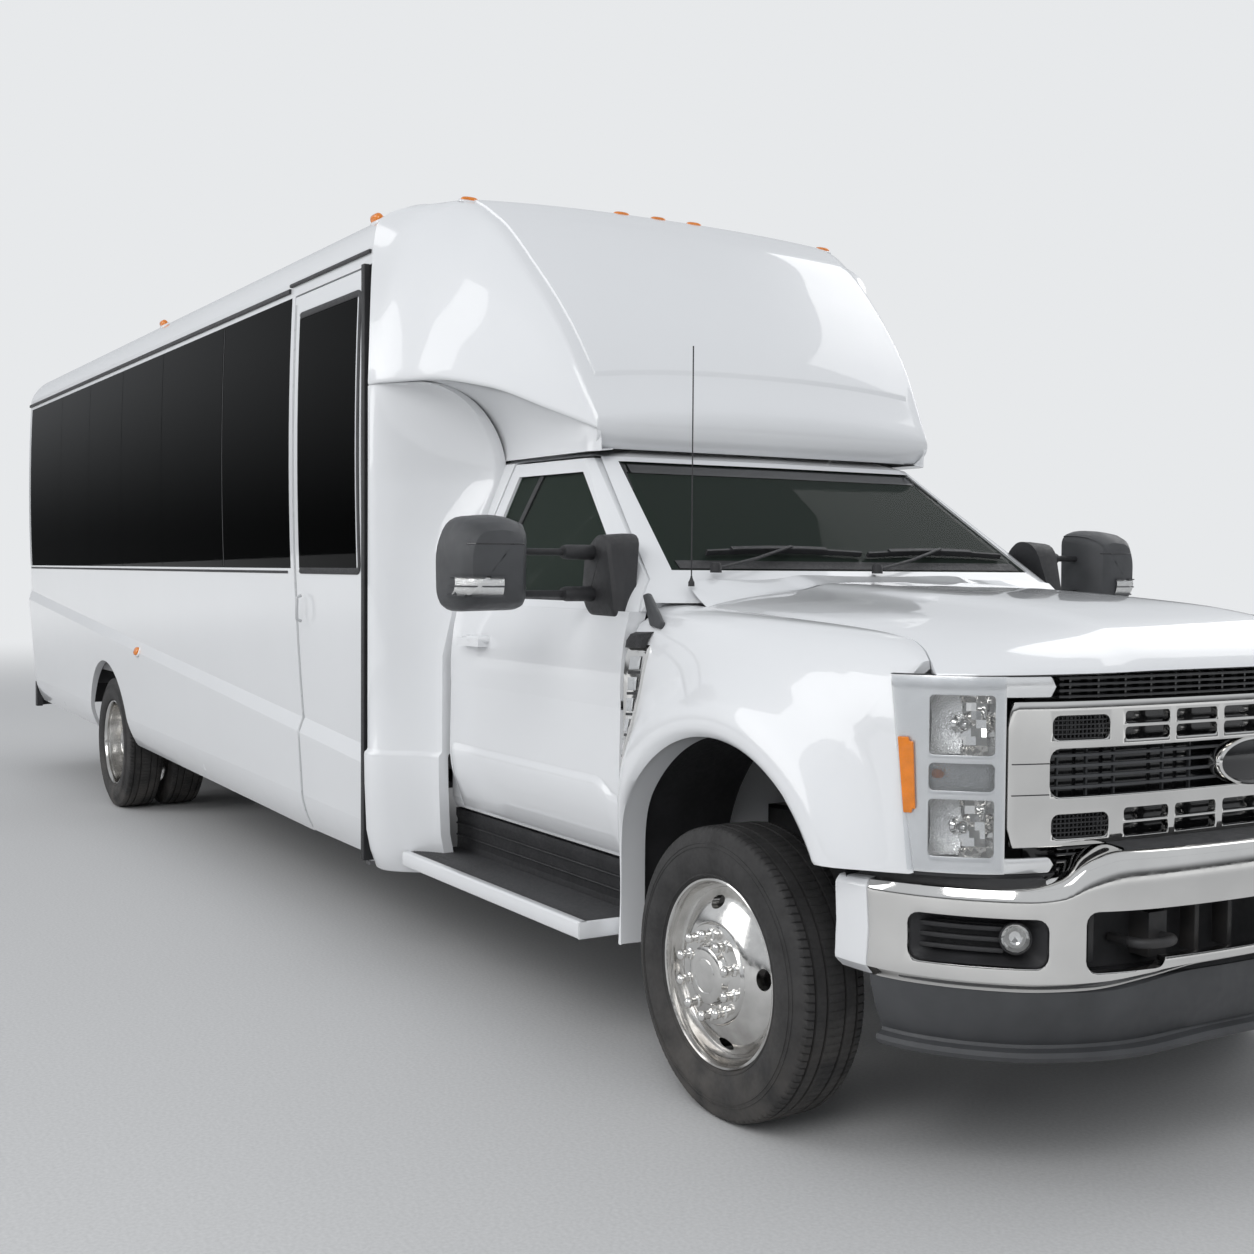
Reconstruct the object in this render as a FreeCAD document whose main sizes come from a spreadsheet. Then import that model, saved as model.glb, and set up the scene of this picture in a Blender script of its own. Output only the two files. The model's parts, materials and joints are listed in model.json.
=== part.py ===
"""Minibus: a long coach body on a medium-duty cab chassis.

Millimetres, +X forward, +Y left, +Z up. Pieces are drawn with x measured from the front axle
and z from the ground, and are then moved so that the origin lies under the middle of the
overall length.
"""
import FreeCAD, Part
import math
import os
import Sketcher
from FreeCAD import Placement, Rotation, Vector

DOC = FreeCAD.newDocument("minibus")
SHEET = DOC.addObject("Spreadsheet::Sheet", "dims")

# alias, value in millimetres (degrees or a count where the note says so), note
SIZES = [
    ("wheelbase", 6570, "front axle to rear axle"),
    ("front_overhang", 1060, "front axle to the front of the bumper"),
    ("rear_overhang", 2560, "rear axle to the back of the rear bumper"),
    ("running_gap", 8, "gap round every panel that opens"),
    ("seat_gap", 0.3, "gap between curved faces that seat on each other"),
    # wheels
    ("tyre_radius", 410, "free radius of every tyre"),
    ("tyre_width", 235, "section width"),
    ("bead_radius", 248, "radius where the tyre sits on its rim"),
    ("rim_width", 196, "over the rim's flanges"),
    ("front_track", 1900, "between the front tyres' middles"),
    ("rear_track", 1850, "between the middles of the rear pairs"),
    ("twin_spacing", 270, "between the tyres of one rear pair"),
    ("stud_circle", 225, "diameter of the circle of wheel nuts"),
    ("hand_hole", 26, "radius of the holes round each wheel's disc"),
    ("spindle_radius", 30, "front wheel spindle"),
    ("bearing_play", 0.08, "radial clearance of shafts and pins"),
    # running gear
    ("kingpin_y", 800, "steering axis from the centre line"),
    ("kingpin_radius", 24, "steering pin"),
    ("eye_height", 110, "height of the axle's end eye"),
    ("steer_arm", 205, "steering arm, from kingpin back to the rod's pin"),
    ("axle_tube_radius", 58, "rear axle tube"),
    ("rail_height", 190, "frame rail"),
    ("rail_flange", 65, "frame rail's flange"),
    ("rail_web", 9, "frame rail's thickness"),
    ("rail_half_gap", 432, "outer face of a rail from the centre line"),
    ("rail_bottom", 560, "underside of the rails"),
    ("spring_half", 560, "from the axle to either end of a leaf spring"),
    ("hanger_drop", 20, "how far the springs' hangers reach below the rail"),
    # coach body
    ("body_width", 2480, "over the side walls at their widest"),
    ("bow_radius", 13400, "radius of the side wall's gentle bow"),
    ("bow_height", 2000, "height of the widest line"),
    ("eave_height", 2760, "where wall and roof meet"),
    ("roof_rise", 240, "crown of the roof above the eave"),
    ("roof_wall", 40, "thickness of the roof"),
    ("wall_plane", 1175, "inner face of the side walls from the centre line"),
    ("skirt_tuck", 60, "how far the skirt's lower edge tucks in"),
    ("coach_front", 2100, "front of the coach walls, behind the front axle"),
    ("coach_tail", 2330, "rear end of the coach walls, behind the rear axle"),
    ("cap_depth", 200, "depth of the rounded tail"),
    ("belt_front", 825, "belt moulding's top at the front of the coach"),
    ("belt_rear", 1345, "belt moulding's top at the tail"),
    ("belt_bevel", 75, "height of the belt's bevel"),
    ("belt_proud", 22, "how far the lower body stands out below the belt"),
    ("skirt_front", 360, "height of the skirt's edge at the front"),
    ("skirt_rear", 500, "height of the skirt's edge at the tail"),
    ("floor_top", 920, "coach floor"),
    ("floor_thick", 60, "coach floor's thickness"),
    ("arch_radius", 520, "rear wheel arch"),
    ("pane_bottom", 1525, "lower edge of the side glass"),
    ("pane_top", 2690, "upper edge of the side glass"),
    ("pane_front", 3010, "front edge of the side glass, behind the front axle"),
    ("pane_margin", 60, "wall left behind the side glass"),
    ("glass_thick", 6, "all glazing"),
    ("pane_frame", 45, "wall left between pane openings, to each side of a seam"),
    # entry door
    ("entry_front", 2176, "front edge of the entry door, behind the front axle"),
    ("entry_rear", 2962, "rear edge of the entry door"),
    ("entry_top", 2685, "top of the entry door"),
    ("shaft_radius", 14, "entry door's turning shaft"),
    ("shaft_y", 1200, "that shaft from the centre line"),
    # cab
    ("cab_front", 574, "firewall, behind the front axle"),
    ("cab_rear", 1900, "back of the cab"),
    ("cab_half", 1020, "half width over the doors"),
    ("door_thick", 62, "thickness of the cab doors"),
    ("cab_roof", 1998, "top of the cab"),
    ("sill_height", 620, "bottom of the cab doors"),
    ("cab_floor", 820, "top of the cab floor"),
    ("cab_belt", 1400, "sill of the door windows"),
    ("door_front", 582, "front edge of the cab doors"),
    ("door_rear", 1822, "rear edge of the cab doors"),
    ("hood_half", 800, "half width of the hood"),
    ("skin", 28, "thickness of hood and fenders"),
    ("front_arch", 530, "radius of the front wheel opening"),
    ("front_arch_height", 540, "height of that radius's centre"),
    ("bumper_top", 850, "top of the front bumper"),
    ("bumper_bottom", 530, "bottom of the front bumper"),
    ("grille_top", 1235, "top of the grille frame"),
    ("grille_bottom", 872, "bottom of the grille frame"),
    ("grille_half", 664, "half width of the grille frame"),
    # seats
    ("row_pitch", 760, "distance between rows"),
    ("first_row", 3350, "middle of the first row of coach seats, behind the front axle"),
    ("seat_width", 880, "double coach seat"),
]
for row, (alias, value, note) in enumerate(SIZES, start=1):
    SHEET.set(f"A{row}", note)
    SHEET.set(f"B{row}", str(value))
    SHEET.setAlias(f"B{row}", alias)
DOC.recompute()


class Size:
    """A number that knows the expression by which it follows from the sheet."""

    def __init__(self, value, text):
        self.value = float(value)
        self.text = text

    def __float__(self):
        return self.value

    def __neg__(self):
        return Size(-self.value, f"(0 - {self.text})")

    def __add__(self, other):
        return Size(self.value + float(other), f"({self.text} + {words(other)})")

    def __radd__(self, other):
        return Size(float(other) + self.value, f"({words(other)} + {self.text})")

    def __sub__(self, other):
        return Size(self.value - float(other), f"({self.text} - {words(other)})")

    def __rsub__(self, other):
        return Size(float(other) - self.value, f"({words(other)} - {self.text})")

    def __mul__(self, other):
        return Size(self.value * float(other), f"({self.text} * {words(other)})")

    __rmul__ = __mul__

    def __truediv__(self, other):
        return Size(self.value / float(other), f"({self.text} / {words(other)})")


def words(size):
    """The expression for a size or a plain number."""
    return size.text if isinstance(size, Size) else f"({float(size):.6g})"


class Sizes:
    """The sheet's cells as attributes."""


D = Sizes()
for alias, value, note in SIZES:
    setattr(D, alias, Size(SHEET.get(alias), f"dims.{alias}"))

FRONT_X = (D.wheelbase + D.rear_overhang - D.front_overhang) / 2
REAR_AXLE = -D.wheelbase
COACH_REAR = D.wheelbase + D.coach_tail
TAIL = -(COACH_REAR + D.cap_depth)
ROOF_TOP = D.eave_height + D.roof_rise
SPRING_Y = D.rail_half_gap - D.rail_flange / 2
NODES = []


def bind(thing, **sizes):
    """Binds properties to expressions; x, y and z mean the placement's base."""
    for name, size in sizes.items():
        prop = f"Placement.Base.{name}" if name in "xyz" else name
        thing.setExpression(prop, words(size))
    return thing


def node(label, thing, x=0, y=0, z=0):
    """Names a finished sub-part and puts it in the part's own frame."""
    thing.Label = label
    bind(thing, x=FRONT_X + x, y=y, z=z)
    NODES.append(thing)
    return thing


def box(name, corner, size):
    thing = DOC.addObject("Part::Box", name)
    bind(thing, Length=size[0], Width=size[1], Height=size[2])
    return bind(thing, x=corner[0], y=corner[1], z=corner[2])


TURNS = {"x": Rotation(Vector(0, 1, 0), 90), "y": Rotation(Vector(1, 0, 0), -90), "z": Rotation()}


def cylinder(name, axis, start, radius, length):
    """A cylinder from start along +axis."""
    thing = DOC.addObject("Part::Cylinder", name)
    thing.Placement = Placement(Vector(), TURNS[axis])
    bind(thing, Radius=radius, Height=length)
    return bind(thing, x=start[0], y=start[1], z=start[2])


def fuse(name, *things):
    joined = DOC.addObject("Part::MultiFuse", name)
    joined.Shapes = list(things)
    return joined


def cut(name, base, tool):
    made = DOC.addObject("Part::Cut", name)
    made.Base, made.Tool = base, tool
    return made


def shaped(name, shape):
    """A piece whose shape is made by the code below from the sheet's sizes."""
    made = DOC.addObject("Part::Feature", name)
    made.Shape = shape
    return made


# An outline is a list of corners (u, v) or (u, v, r). With r, the run to the next corner is an
# arc of radius r that bulges to the left of the way along, or to the right where r is negative.


def arc_middle(p, q, r):
    chord = q - p
    half = chord.Length / 2
    rise = abs(r) - math.sqrt(max(r * r - half * half, 0))
    side = Vector(-chord.y, chord.x, 0).normalize() * math.copysign(rise, r)
    return (p + q) / 2 + side


def crown(half, rise):
    """Radius of an arc that is square to the centre line and falls by rise at that half width."""
    return (half * half + rise * rise) / (2 * rise)


def flat_edges(outline):
    """Edges of an outline in the XY plane."""
    corners = [(Vector(float(c[0]), float(c[1]), 0), float(c[2]) if len(c) > 2 else 0) for c in outline]
    edges = []
    for (p, r), (q, _) in zip(corners, corners[1:] + corners[:1]):
        if r:
            edges.append(Part.Arc(p, arc_middle(p, q, r), q).toShape())
        else:
            edges.append(Part.makeLine(p, q))
    return edges


PLANES = {
    "xy": Rotation(),
    "xz": Rotation(Vector(1, 0, 0), 90),
    "yz": Rotation(Vector(1, 1, 1), 120),
}


def wire(outline, plane, level):
    """A closed outline on a plane at that level: u, v are x, y or x, z or y, z."""
    made = Part.Wire(flat_edges(outline))
    shift = {"xy": Vector(0, 0, 1), "xz": Vector(0, 1, 0), "yz": Vector(1, 0, 0)}[plane]
    made.Placement = Placement(shift * float(level), PLANES[plane])
    return made


def prism(outline, plane, start, end):
    """A solid from an outline, from one level to another."""
    start, end = float(start), float(end)
    reach = {"xy": Vector(0, 0, 1), "xz": Vector(0, 1, 0), "yz": Vector(1, 0, 0)}[plane]
    return Part.Face(wire(outline, plane, start)).extrude(reach * (end - start))


def loft(*wires):
    return Part.makeLoft(list(wires), True, True)


def block(x0, x1, y0, y1, z0, z1):
    """A box between levels, given in any order."""
    spans = [sorted((float(a), float(b))) for a, b in ((x0, x1), (y0, y1), (z0, z1))]
    return Part.makeBox(*(b - a for a, b in spans), Vector(*(a for a, b in spans)))


def rod(start, end, radius):
    start, end = Vector(*map(float, start)), Vector(*map(float, end))
    return Part.makeCylinder(float(radius), (end - start).Length, start, end - start)


def flip(shape):
    return shape.mirror(Vector(), Vector(0, 1, 0))


def one(shape):
    """The single clean solid of a boolean's result."""
    shape = shape.removeSplitter()
    return shape.Solids[0] if len(shape.Solids) == 1 else shape


# Part Design pieces


def start_body(name):
    return DOC.addObject("PartDesign::Body", name)


def origin_plane(body, role):
    return next(f for f in body.Origin.OriginFeatures if f.Role == role)


def sketch(body, name, role, *outlines, circles=()):
    """A sketch whose corners and radii are bound to the sheet."""
    made = body.newObject("Sketcher::SketchObject", name)
    made.AttachmentSupport = [(origin_plane(body, role), "")]
    made.MapMode = "FlatFace"
    for outline in outlines:
        first = made.GeometryCount
        count = len(outline)
        for i, corner in enumerate(outline):
            p = Vector(float(corner[0]), float(corner[1]), 0)
            after = outline[(i + 1) % count]
            q = Vector(float(after[0]), float(after[1]), 0)
            if len(corner) > 2:
                made.addGeometry(arc_geometry(p, q, float(corner[2])), False)
            else:
                made.addGeometry(Part.LineSegment(p, q), False)
        for i, corner in enumerate(outline):
            here, last = first + i, first + (i - 1) % count
            start_pos = 2 if len(corner) > 2 and float(corner[2]) > 0 else 1
            before = outline[(i - 1) % count]
            end_pos = 1 if len(before) > 2 and float(before[2]) > 0 else 2
            made.addConstraint(Sketcher.Constraint("Coincident", last, end_pos, here, start_pos))
            for kind, letter, value in (("DistanceX", "u", corner[0]), ("DistanceY", "v", corner[1])):
                pin(made, Sketcher.Constraint(kind, -1, 1, here, start_pos, float(value)),
                    f"{letter}{here}", value)
            if len(corner) > 2:
                radius = corner[2] if float(corner[2]) > 0 else 0 - corner[2]
                pin(made, Sketcher.Constraint("Radius", here, float(radius)), f"r{here}", radius)
    for u, v, radius in circles:
        here = made.GeometryCount
        centre = Vector(float(u), float(v), 0)
        made.addGeometry(Part.Circle(centre, Vector(0, 0, 1), float(radius)), False)
        pin(made, Sketcher.Constraint("DistanceX", -1, 1, here, 3, float(u)), f"u{here}", u)
        pin(made, Sketcher.Constraint("DistanceY", -1, 1, here, 3, float(v)), f"v{here}", v)
        pin(made, Sketcher.Constraint("Radius", here, float(radius)), f"r{here}", radius)
    return made


def pin(drawing, constraint, name, size):
    index = drawing.addConstraint(constraint)
    if isinstance(size, Size):
        drawing.renameConstraint(index, name)
        drawing.setExpression(f"Constraints.{name}", words(size))


def arc_geometry(p, q, r):
    middle = arc_middle(p, q, r)
    circle = Part.Arc(p, middle, q).toShape().Curve
    a, b = (math.atan2(e.y - circle.Center.y, e.x - circle.Center.x) for e in (p, q))
    full = Part.Circle(circle.Center, Vector(0, 0, 1), circle.Radius)
    return Part.ArcOfCircle(full, b, a) if r > 0 else Part.ArcOfCircle(full, a, b)


def revolve(body, drawing):
    """Turns a sketch about its own vertical axis."""
    made = body.newObject("PartDesign::Revolution", body.Name + "_turned")
    made.Profile = drawing
    made.ReferenceAxis = (drawing, ["V_Axis"])
    made.Angle = 360
    return made


def pad(body, drawing, length):
    made = body.newObject("PartDesign::Pad", drawing.Name + "_pad")
    made.Profile = drawing
    bind(made, Length=length)
    return made


def ring_pattern(body, feature, count):
    """Repeats a feature round the body's own Y axis."""
    made = body.newObject("PartDesign::PolarPattern", feature.Name + "_ring")
    made.Originals = [feature]
    made.Axis = (origin_plane(body, "Y_Axis"), [""])
    made.Angle = 360
    made.Occurrences = count
    body.Tip = made
    return made


SIDES = (("left", 1), ("right", -1))


TYRE_FACETS = 48


def tyre_outline(middle):
    """Section (radius, y) of a tyre whose middle lies at that y."""
    half, bead = float(D.tyre_width) / 2, float(D.rim_width) / 2 - 12
    outer, inner = float(D.tyre_radius), float(D.bead_radius)
    side = [(inner, bead), (inner + 20, bead), ((inner + outer) / 2, half), (outer - 22, half - 14),
            (outer, half - 30)]
    return [(r, middle + y) for r, y in side] + [(r, middle - y) for r, y in side[::-1]]


def ring_of_facets(outline):
    """A ring about Y whose flat facets touch the outline's radii, with one facet at the bottom."""
    step = 2 * math.pi / TYRE_FACETS
    grow = 1 / math.cos(step / 2)
    corners = [[Vector(r * grow * math.sin(a), y, -r * grow * math.cos(a)) for r, y in outline]
               for a in (step * (i + 0.5) for i in range(TYRE_FACETS))]
    faces = []
    for here, after in zip(corners, corners[1:] + corners[:1]):
        for i in range(len(outline)):
            j = (i + 1) % len(outline)
            faces.append(Part.Face(Part.makePolygon([here[i], here[j], after[j], after[i], here[i]])))
    shell = Part.makeShell(faces)
    solid = Part.makeSolid(shell)
    return solid if solid.Volume > 0 else solid.reversed()


def turned(name, *outlines):
    """A body made by turning half sections about its own Y axis."""
    body = start_body(name)
    revolve(body, sketch(body, name + "_section", "XY_Plane", *outlines))
    return body


def hand_holes(body, radius, hole, count):
    """A ring of round holes through the wheel's disc."""
    drawing = sketch(body, body.Name + "_hole", "XZ_Plane", circles=[(radius, 0, hole)])
    made = body.newObject("PartDesign::Pocket", body.Name + "_hole_cut")
    made.Profile = drawing
    made.Type = 1
    made.Midplane = True
    return ring_pattern(body, made, count)


def wheel_node(label, body, side, x, y):
    """Puts a wheel drawn about Y, with its outer side at +y, on the left or right."""
    body.Placement = Placement(Vector(), Rotation(Vector(0, 0, 1), 0 if side > 0 else 180))
    return node(label, body, x=x, y=y * side, z=D.tyre_radius)


def rim_flanges(middle, seat):
    """The outer line of one rim, from its outboard flange inward."""
    edge = D.rim_width / 2
    return [
        (seat + 18, middle + edge),
        (seat + 18, middle + edge - 10),
        (seat, middle + edge - 10),
        (seat, middle - edge + 10),
        (seat + 18, middle - edge + 10),
        (seat + 18, middle - edge),
    ]


def front_wheels():
    seat, edge = D.bead_radius - D.seat_gap, D.rim_width / 2
    bore, blind = D.spindle_radius + D.bearing_play, D.rim_width / 2 - 8
    for label, side in SIDES:
        rubber = shaped("front_tyre_" + label, ring_of_facets(tyre_outline(0)))
        wheel_node("front_tyre_" + label, rubber, side, 0, D.front_track / 2)
        steel = turned("front_wheel_" + label, [
            (0, edge + 42),
            (58, edge + 42, 16),
            (78, edge + 24),
            (92, edge + 6, 400),
            (226, edge - 26),
            (240, edge),
            *rim_flanges(0, seat),
            (seat - 14, -edge),
            (seat - 14, edge - 46),
            (100, edge - 20),
            (100, -70),
            (bore, -70),
            (bore, blind),
            (0, blind),
        ])
        hand_holes(steel, D.stud_circle / 2 + 62, D.hand_hole, 4)
        wheel_node("front_wheel_" + label, steel, side, 0, D.front_track / 2)


def rear_wheels():
    seat, edge, twin = D.bead_radius - D.seat_gap, D.rim_width / 2, D.twin_spacing / 2
    bore, blind = D.spindle_radius + D.bearing_play, twin + 20
    for label, side in SIDES:
        rings = [ring_of_facets(tyre_outline(float(y))) for y in (twin, -twin)]
        rubber = shaped("rear_tyres_" + label, Part.makeCompound(rings))
        wheel_node("rear_tyres_" + label, rubber, side, REAR_AXLE, D.rear_track / 2)
        steel = turned("rear_wheels_" + label, [
            (0, blind + 25),
            (66, blind + 25),
            (76, blind + 12),
            (76, 60),
            (112, 48),
            (150, 16),
            (seat - 20, 14),
            (seat - 20, twin + edge - 26),
            (seat - 6, twin + edge),
            *rim_flanges(twin, seat),
            (seat - 8, twin - edge),
            (seat - 8, edge - twin),
            *rim_flanges(-twin, seat),
            (seat - 20, -twin - edge),
            (seat - 20, -14),
            (110, -14),
            (110, -twin),
            (bore, -twin),
            (bore, blind),
            (0, blind),
        ])
        hand_holes(steel, D.stud_circle / 2 + 72, D.hand_hole, 8)
        wheel_node("rear_wheels_" + label, steel, side, REAR_AXLE, D.rear_track / 2)


LUG_GAP = 3
LUG_THICK = 30
ROD_DROP = 22


def eye_bottom():
    return D.tyre_radius - D.eye_height / 2


def knuckles():
    """Each turns on its pin in the axle's eye, and carries a spindle and a steering arm."""
    wheel_axis = D.tyre_radius
    reach = D.eye_height / 2 + LUG_GAP
    arm_top = wheel_axis - reach
    for label, side in SIDES:
        pin_y = D.kingpin_y
        parts = [cylinder(f"pin_{label}", "z", (0, pin_y * side, wheel_axis - reach - LUG_THICK),
                          D.kingpin_radius, (reach + LUG_THICK) * 2)]
        for where, z in (("upper", wheel_axis + reach), ("lower", wheel_axis - reach - LUG_THICK)):
            low = pin_y * side - 38 if side > 0 else pin_y * side - 56
            parts.append(box(f"{where}_lug_{label}", (-38, low, z), (76, 94, LUG_THICK)))
        web = pin_y * side + 50 if side > 0 else pin_y * side - 74
        parts.append(box(f"web_{label}", (-42, web, wheel_axis - reach - LUG_THICK),
                         (84, 24, (reach + LUG_THICK) * 2)))
        inner = pin_y + 60
        tip = D.front_track / 2 + D.rim_width / 2 - 10
        start = inner if side > 0 else -tip
        parts.append(cylinder(f"spindle_{label}", "y", (0, start, wheel_axis), D.spindle_radius, tip - inner))
        arm = box(f"arm_{label}", (-D.steer_arm, pin_y * side - 22, arm_top - LUG_THICK),
                  (D.steer_arm, 44, LUG_THICK - 6))
        boss = cylinder(f"boss_{label}", "z", (-D.steer_arm, pin_y * side, arm_top - LUG_THICK), 26,
                        LUG_THICK - 6)
        solid = fuse(f"knuckle_{label}_solid", *parts, arm, boss)
        hole = cylinder(f"rod_hole_{label}", "z", (-D.steer_arm, pin_y * side, arm_top - LUG_THICK - 5),
                        12 + D.bearing_play, LUG_THICK + 10)
        node(f"knuckle_{label}", cut(f"knuckle_{label}", solid, hole))


def tie_rod():
    """A straight rod under the two steering arms, with a stud up through each."""
    arm_low = D.tyre_radius - D.eye_height / 2 - LUG_GAP - LUG_THICK
    axis = arm_low - ROD_DROP
    parts = [cylinder("rod_tube", "y", (-D.steer_arm, -D.kingpin_y, axis), 16, D.kingpin_y * 2)]
    for label, side in SIDES:
        parts.append(cylinder(f"rod_end_{label}", "z", (-D.steer_arm, D.kingpin_y * side, axis - 18), 22, 34))
        parts.append(cylinder(f"stud_{label}", "z", (-D.steer_arm, D.kingpin_y * side, axis), 12,
                              ROD_DROP + LUG_THICK))
    node("tie_rod", fuse("tie_rod", *parts))


def front_axle():
    """A beam with an eye at each end for the steering pins, and pads for the springs."""
    bottom, height = eye_bottom(), D.eye_height
    beam = box("beam", (-36, 40 - D.kingpin_y, bottom + 12), (72, (D.kingpin_y - 40) * 2, height - 24))
    parts, holes = [beam], []
    for label, side in SIDES:
        parts.append(cylinder(f"eye_{label}", "z", (0, D.kingpin_y * side, bottom), 44, height))
        parts.append(box(f"pad_{label}", (-60, SPRING_Y * side - 36, bottom + height - 20), (120, 72, 35)))
        holes.append(cylinder(f"eye_hole_{label}", "z", (0, D.kingpin_y * side, bottom - 5),
                              D.kingpin_radius + D.bearing_play, height + 10))
    node("front_axle", cut("front_axle", fuse("axle_solid", *parts), fuse("eye_holes", *holes)))


PAD_TOP = 15


def rear_axle():
    """A tube with the final drive in its middle and a spindle at each end."""
    inner = D.rear_track / 2 - D.twin_spacing / 2
    body = start_body("rear_axle_turned")
    reach = D.rear_track / 2 + D.twin_spacing / 2 + 19
    section = sketch(body, "rear_axle_section", "XY_Plane", [
        (0, reach), (D.spindle_radius, reach), (D.spindle_radius, inner - 6), (D.axle_tube_radius, inner - 6),
        (D.axle_tube_radius, 150), (175, 60), (175, -60), (D.axle_tube_radius, -150),
        (D.axle_tube_radius, 6 - inner), (D.spindle_radius, 6 - inner), (D.spindle_radius, -reach),
        (0, -reach),
    ])
    revolve(body, section)
    bind(body, x=REAR_AXLE, z=D.tyre_radius)
    parts = [body, cylinder("pinion_nose", "x", (REAR_AXLE, 0, D.tyre_radius), 75, 250)]
    for label, side in SIDES:
        parts.append(box(f"rear_pad_{label}", (REAR_AXLE - 60, SPRING_Y * side - 36, D.tyre_radius),
                         (120, 72, D.eye_height / 2 + PAD_TOP)))
    node("rear_axle", fuse("rear_axle", *parts))


def springs():
    """A leaf pack at each end of both axles, between the axle's pad and the hangers on the rail."""
    half, thick = float(D.spring_half), 38
    seat = float(D.tyre_radius + D.eye_height / 2 + PAD_TOP)
    low = float(D.rail_bottom - D.hanger_drop) - thick
    arc = crown(half, low - seat)
    solids = []
    for axle in (0, REAR_AXLE):
        x = float(axle)
        leaf = [(x - half, low, -arc), (x + half, low), (x + half, low + thick, arc), (x - half, low + thick)]
        for _, side in SIDES:
            y0 = float(SPRING_Y) * side
            solids.append(prism(leaf, "xz", y0 - 30, y0 + 30))
    node("leaf_springs", shaped("leaf_springs", Part.makeCompound(solids)))


BUMPER_WALL = 60
# share of the wheelbase, behind the front axle
CROSS_MEMBERS = (-0.096, 0.268, 0.5175, 0.807, 1.172, 1.324)


def frame():
    """Two channel rails joined by cross members, with spring hangers and horns for the bumpers."""
    front, rear = 700, -COACH_REAR - 60
    flange, web, height = D.rail_flange, D.rail_web, D.rail_height
    parts = []
    for label, side in SIDES:
        body = start_body(f"rail_{label}")
        section = sketch(body, f"rail_{label}_section", "YZ_Plane", [
            (0, 0), (flange * side, 0), (flange * side, height), (0, height), (0, height - web),
            ((flange - web) * side, height - web), ((flange - web) * side, web), (0, web)])
        pad(body, section, front - rear)
        bind(body, x=rear, y=(D.rail_half_gap - flange) * side, z=D.rail_bottom)
        parts.append(body)
        low = D.rail_half_gap - flange if side > 0 else -D.rail_half_gap
        parts.append(box(f"front_horn_{label}", (front - 40, low, D.rail_bottom + 30),
                         (D.front_overhang - BUMPER_WALL - 33 - front + 40, flange, 110)))
        parts.append(box(f"rear_horn_{label}", (REAR_AXLE - D.rear_overhang + 46, low, D.rail_bottom - 60),
                         (D.rear_overhang - 46 - COACH_REAR - 20 + D.wheelbase, flange, 120)))
        spring = D.spring_half
        for i, x in enumerate((spring, -spring, REAR_AXLE + spring, REAR_AXLE - spring)):
            corner = (x - 18, SPRING_Y * side - 30, D.rail_bottom - D.hanger_drop)
            parts.append(box(f"hanger_{label}_{i}", corner, (36, 60, D.hanger_drop + web / 2)))
    inner = D.rail_half_gap - web
    for i, share in enumerate(CROSS_MEMBERS):
        corner = (REAR_AXLE * share, -inner, D.rail_bottom + height - 60)
        parts.append(box(f"member_{i}", corner, (60, inner * 2, 50)))
    node("frame_rails", fuse("frame_rails", *parts))


def drive_line():
    """Engine, shaft, fuel tank and exhaust."""
    inner = D.rail_half_gap - D.rail_flange
    engine = box("engine_lump", (-460, -290, D.rail_bottom + 20), (940, 580, 520))
    mounts = box("engine_mounts", (-80, -inner, D.rail_bottom + 60), (120, inner * 2, 70))
    gearbox = box("gearbox", (-1480, -150, D.rail_bottom - 10), (1060, 300, 210))
    node("engine_block", fuse("engine_block", engine, mounts, gearbox))

    shaft = rod((-1482, 0, D.rail_bottom + 60), (REAR_AXLE + 252, 0, D.tyre_radius + 10), 42)
    node("driveshaft", shaped("driveshaft", shaft))

    tank = start_body("fuel_tank")
    section = sketch(tank, "tank_section", "YZ_Plane", [
        (0, 0), (430, 0, -60), (490, 60), (490, 250, -60), (430, 310), (0, 310)])
    pad(tank, section, 1150)
    node("fuel_tank", tank, x=-4450, y=D.rail_half_gap, z=D.rail_bottom - 130)

    pipe_y, pipe_z = -(D.rail_half_gap + 130), D.rail_bottom + 60
    parts = [cylinder("muffler", "x", (-4250, pipe_y, pipe_z), 105, 950),
             cylinder("tail_pipe", "x", (TAIL + 60, pipe_y, pipe_z), 38, COACH_REAR - 4100)]
    for i, x in enumerate((-4000, -3500, -5400, -8500)):
        parts.append(box(f"hanger_{i}", (x, pipe_y, pipe_z - 5), (30, 130, 10)))
    node("exhaust", fuse("exhaust", *parts))


# Coach body


def bow(z, inset=0):
    """Half width of the gently bowed side wall at a height."""
    radius = float(D.bow_radius)
    return float(D.body_width) / 2 - radius + math.sqrt(radius ** 2 - (z - float(D.bow_height)) ** 2) - inset


def along(x, front, rear):
    """A height that changes evenly from the coach's front to its rear."""
    share = (-float(x) - float(D.coach_front)) / float(COACH_REAR - D.coach_front)
    return float(front) + (float(rear) - float(front)) * share


def belt(x):
    return along(x, D.belt_front, D.belt_rear)


def skirt(x):
    return along(x, D.skirt_front, D.skirt_rear)


def symmetric(half, index):
    """A closed outline from its half, run outward from the centre; index is the mirrored axis."""
    def flipped(c):
        return tuple(-v if i == index else v for i, v in enumerate(c[:2]))
    other = [flipped(half[i]) + tuple(half[i - 1][2:]) for i in range(len(half) - 1, 0, -1)]
    start = [] if float(half[0][index]) == 0 else [flipped(half[0])]
    return other + start + list(half[:-1]) + [tuple(half[-1][:2])]


def upper_wall(inset, inner):
    """Section of a wall between the bow, set in by inset, and an inner face."""
    low, high, r = 800, float(D.eave_height), float(D.bow_radius) - inset
    return [(float(inner), low), (bow(low, inset), low, -r), (bow(high, inset), high), (float(inner), high)]


SKIRT_BEND = 420


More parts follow.
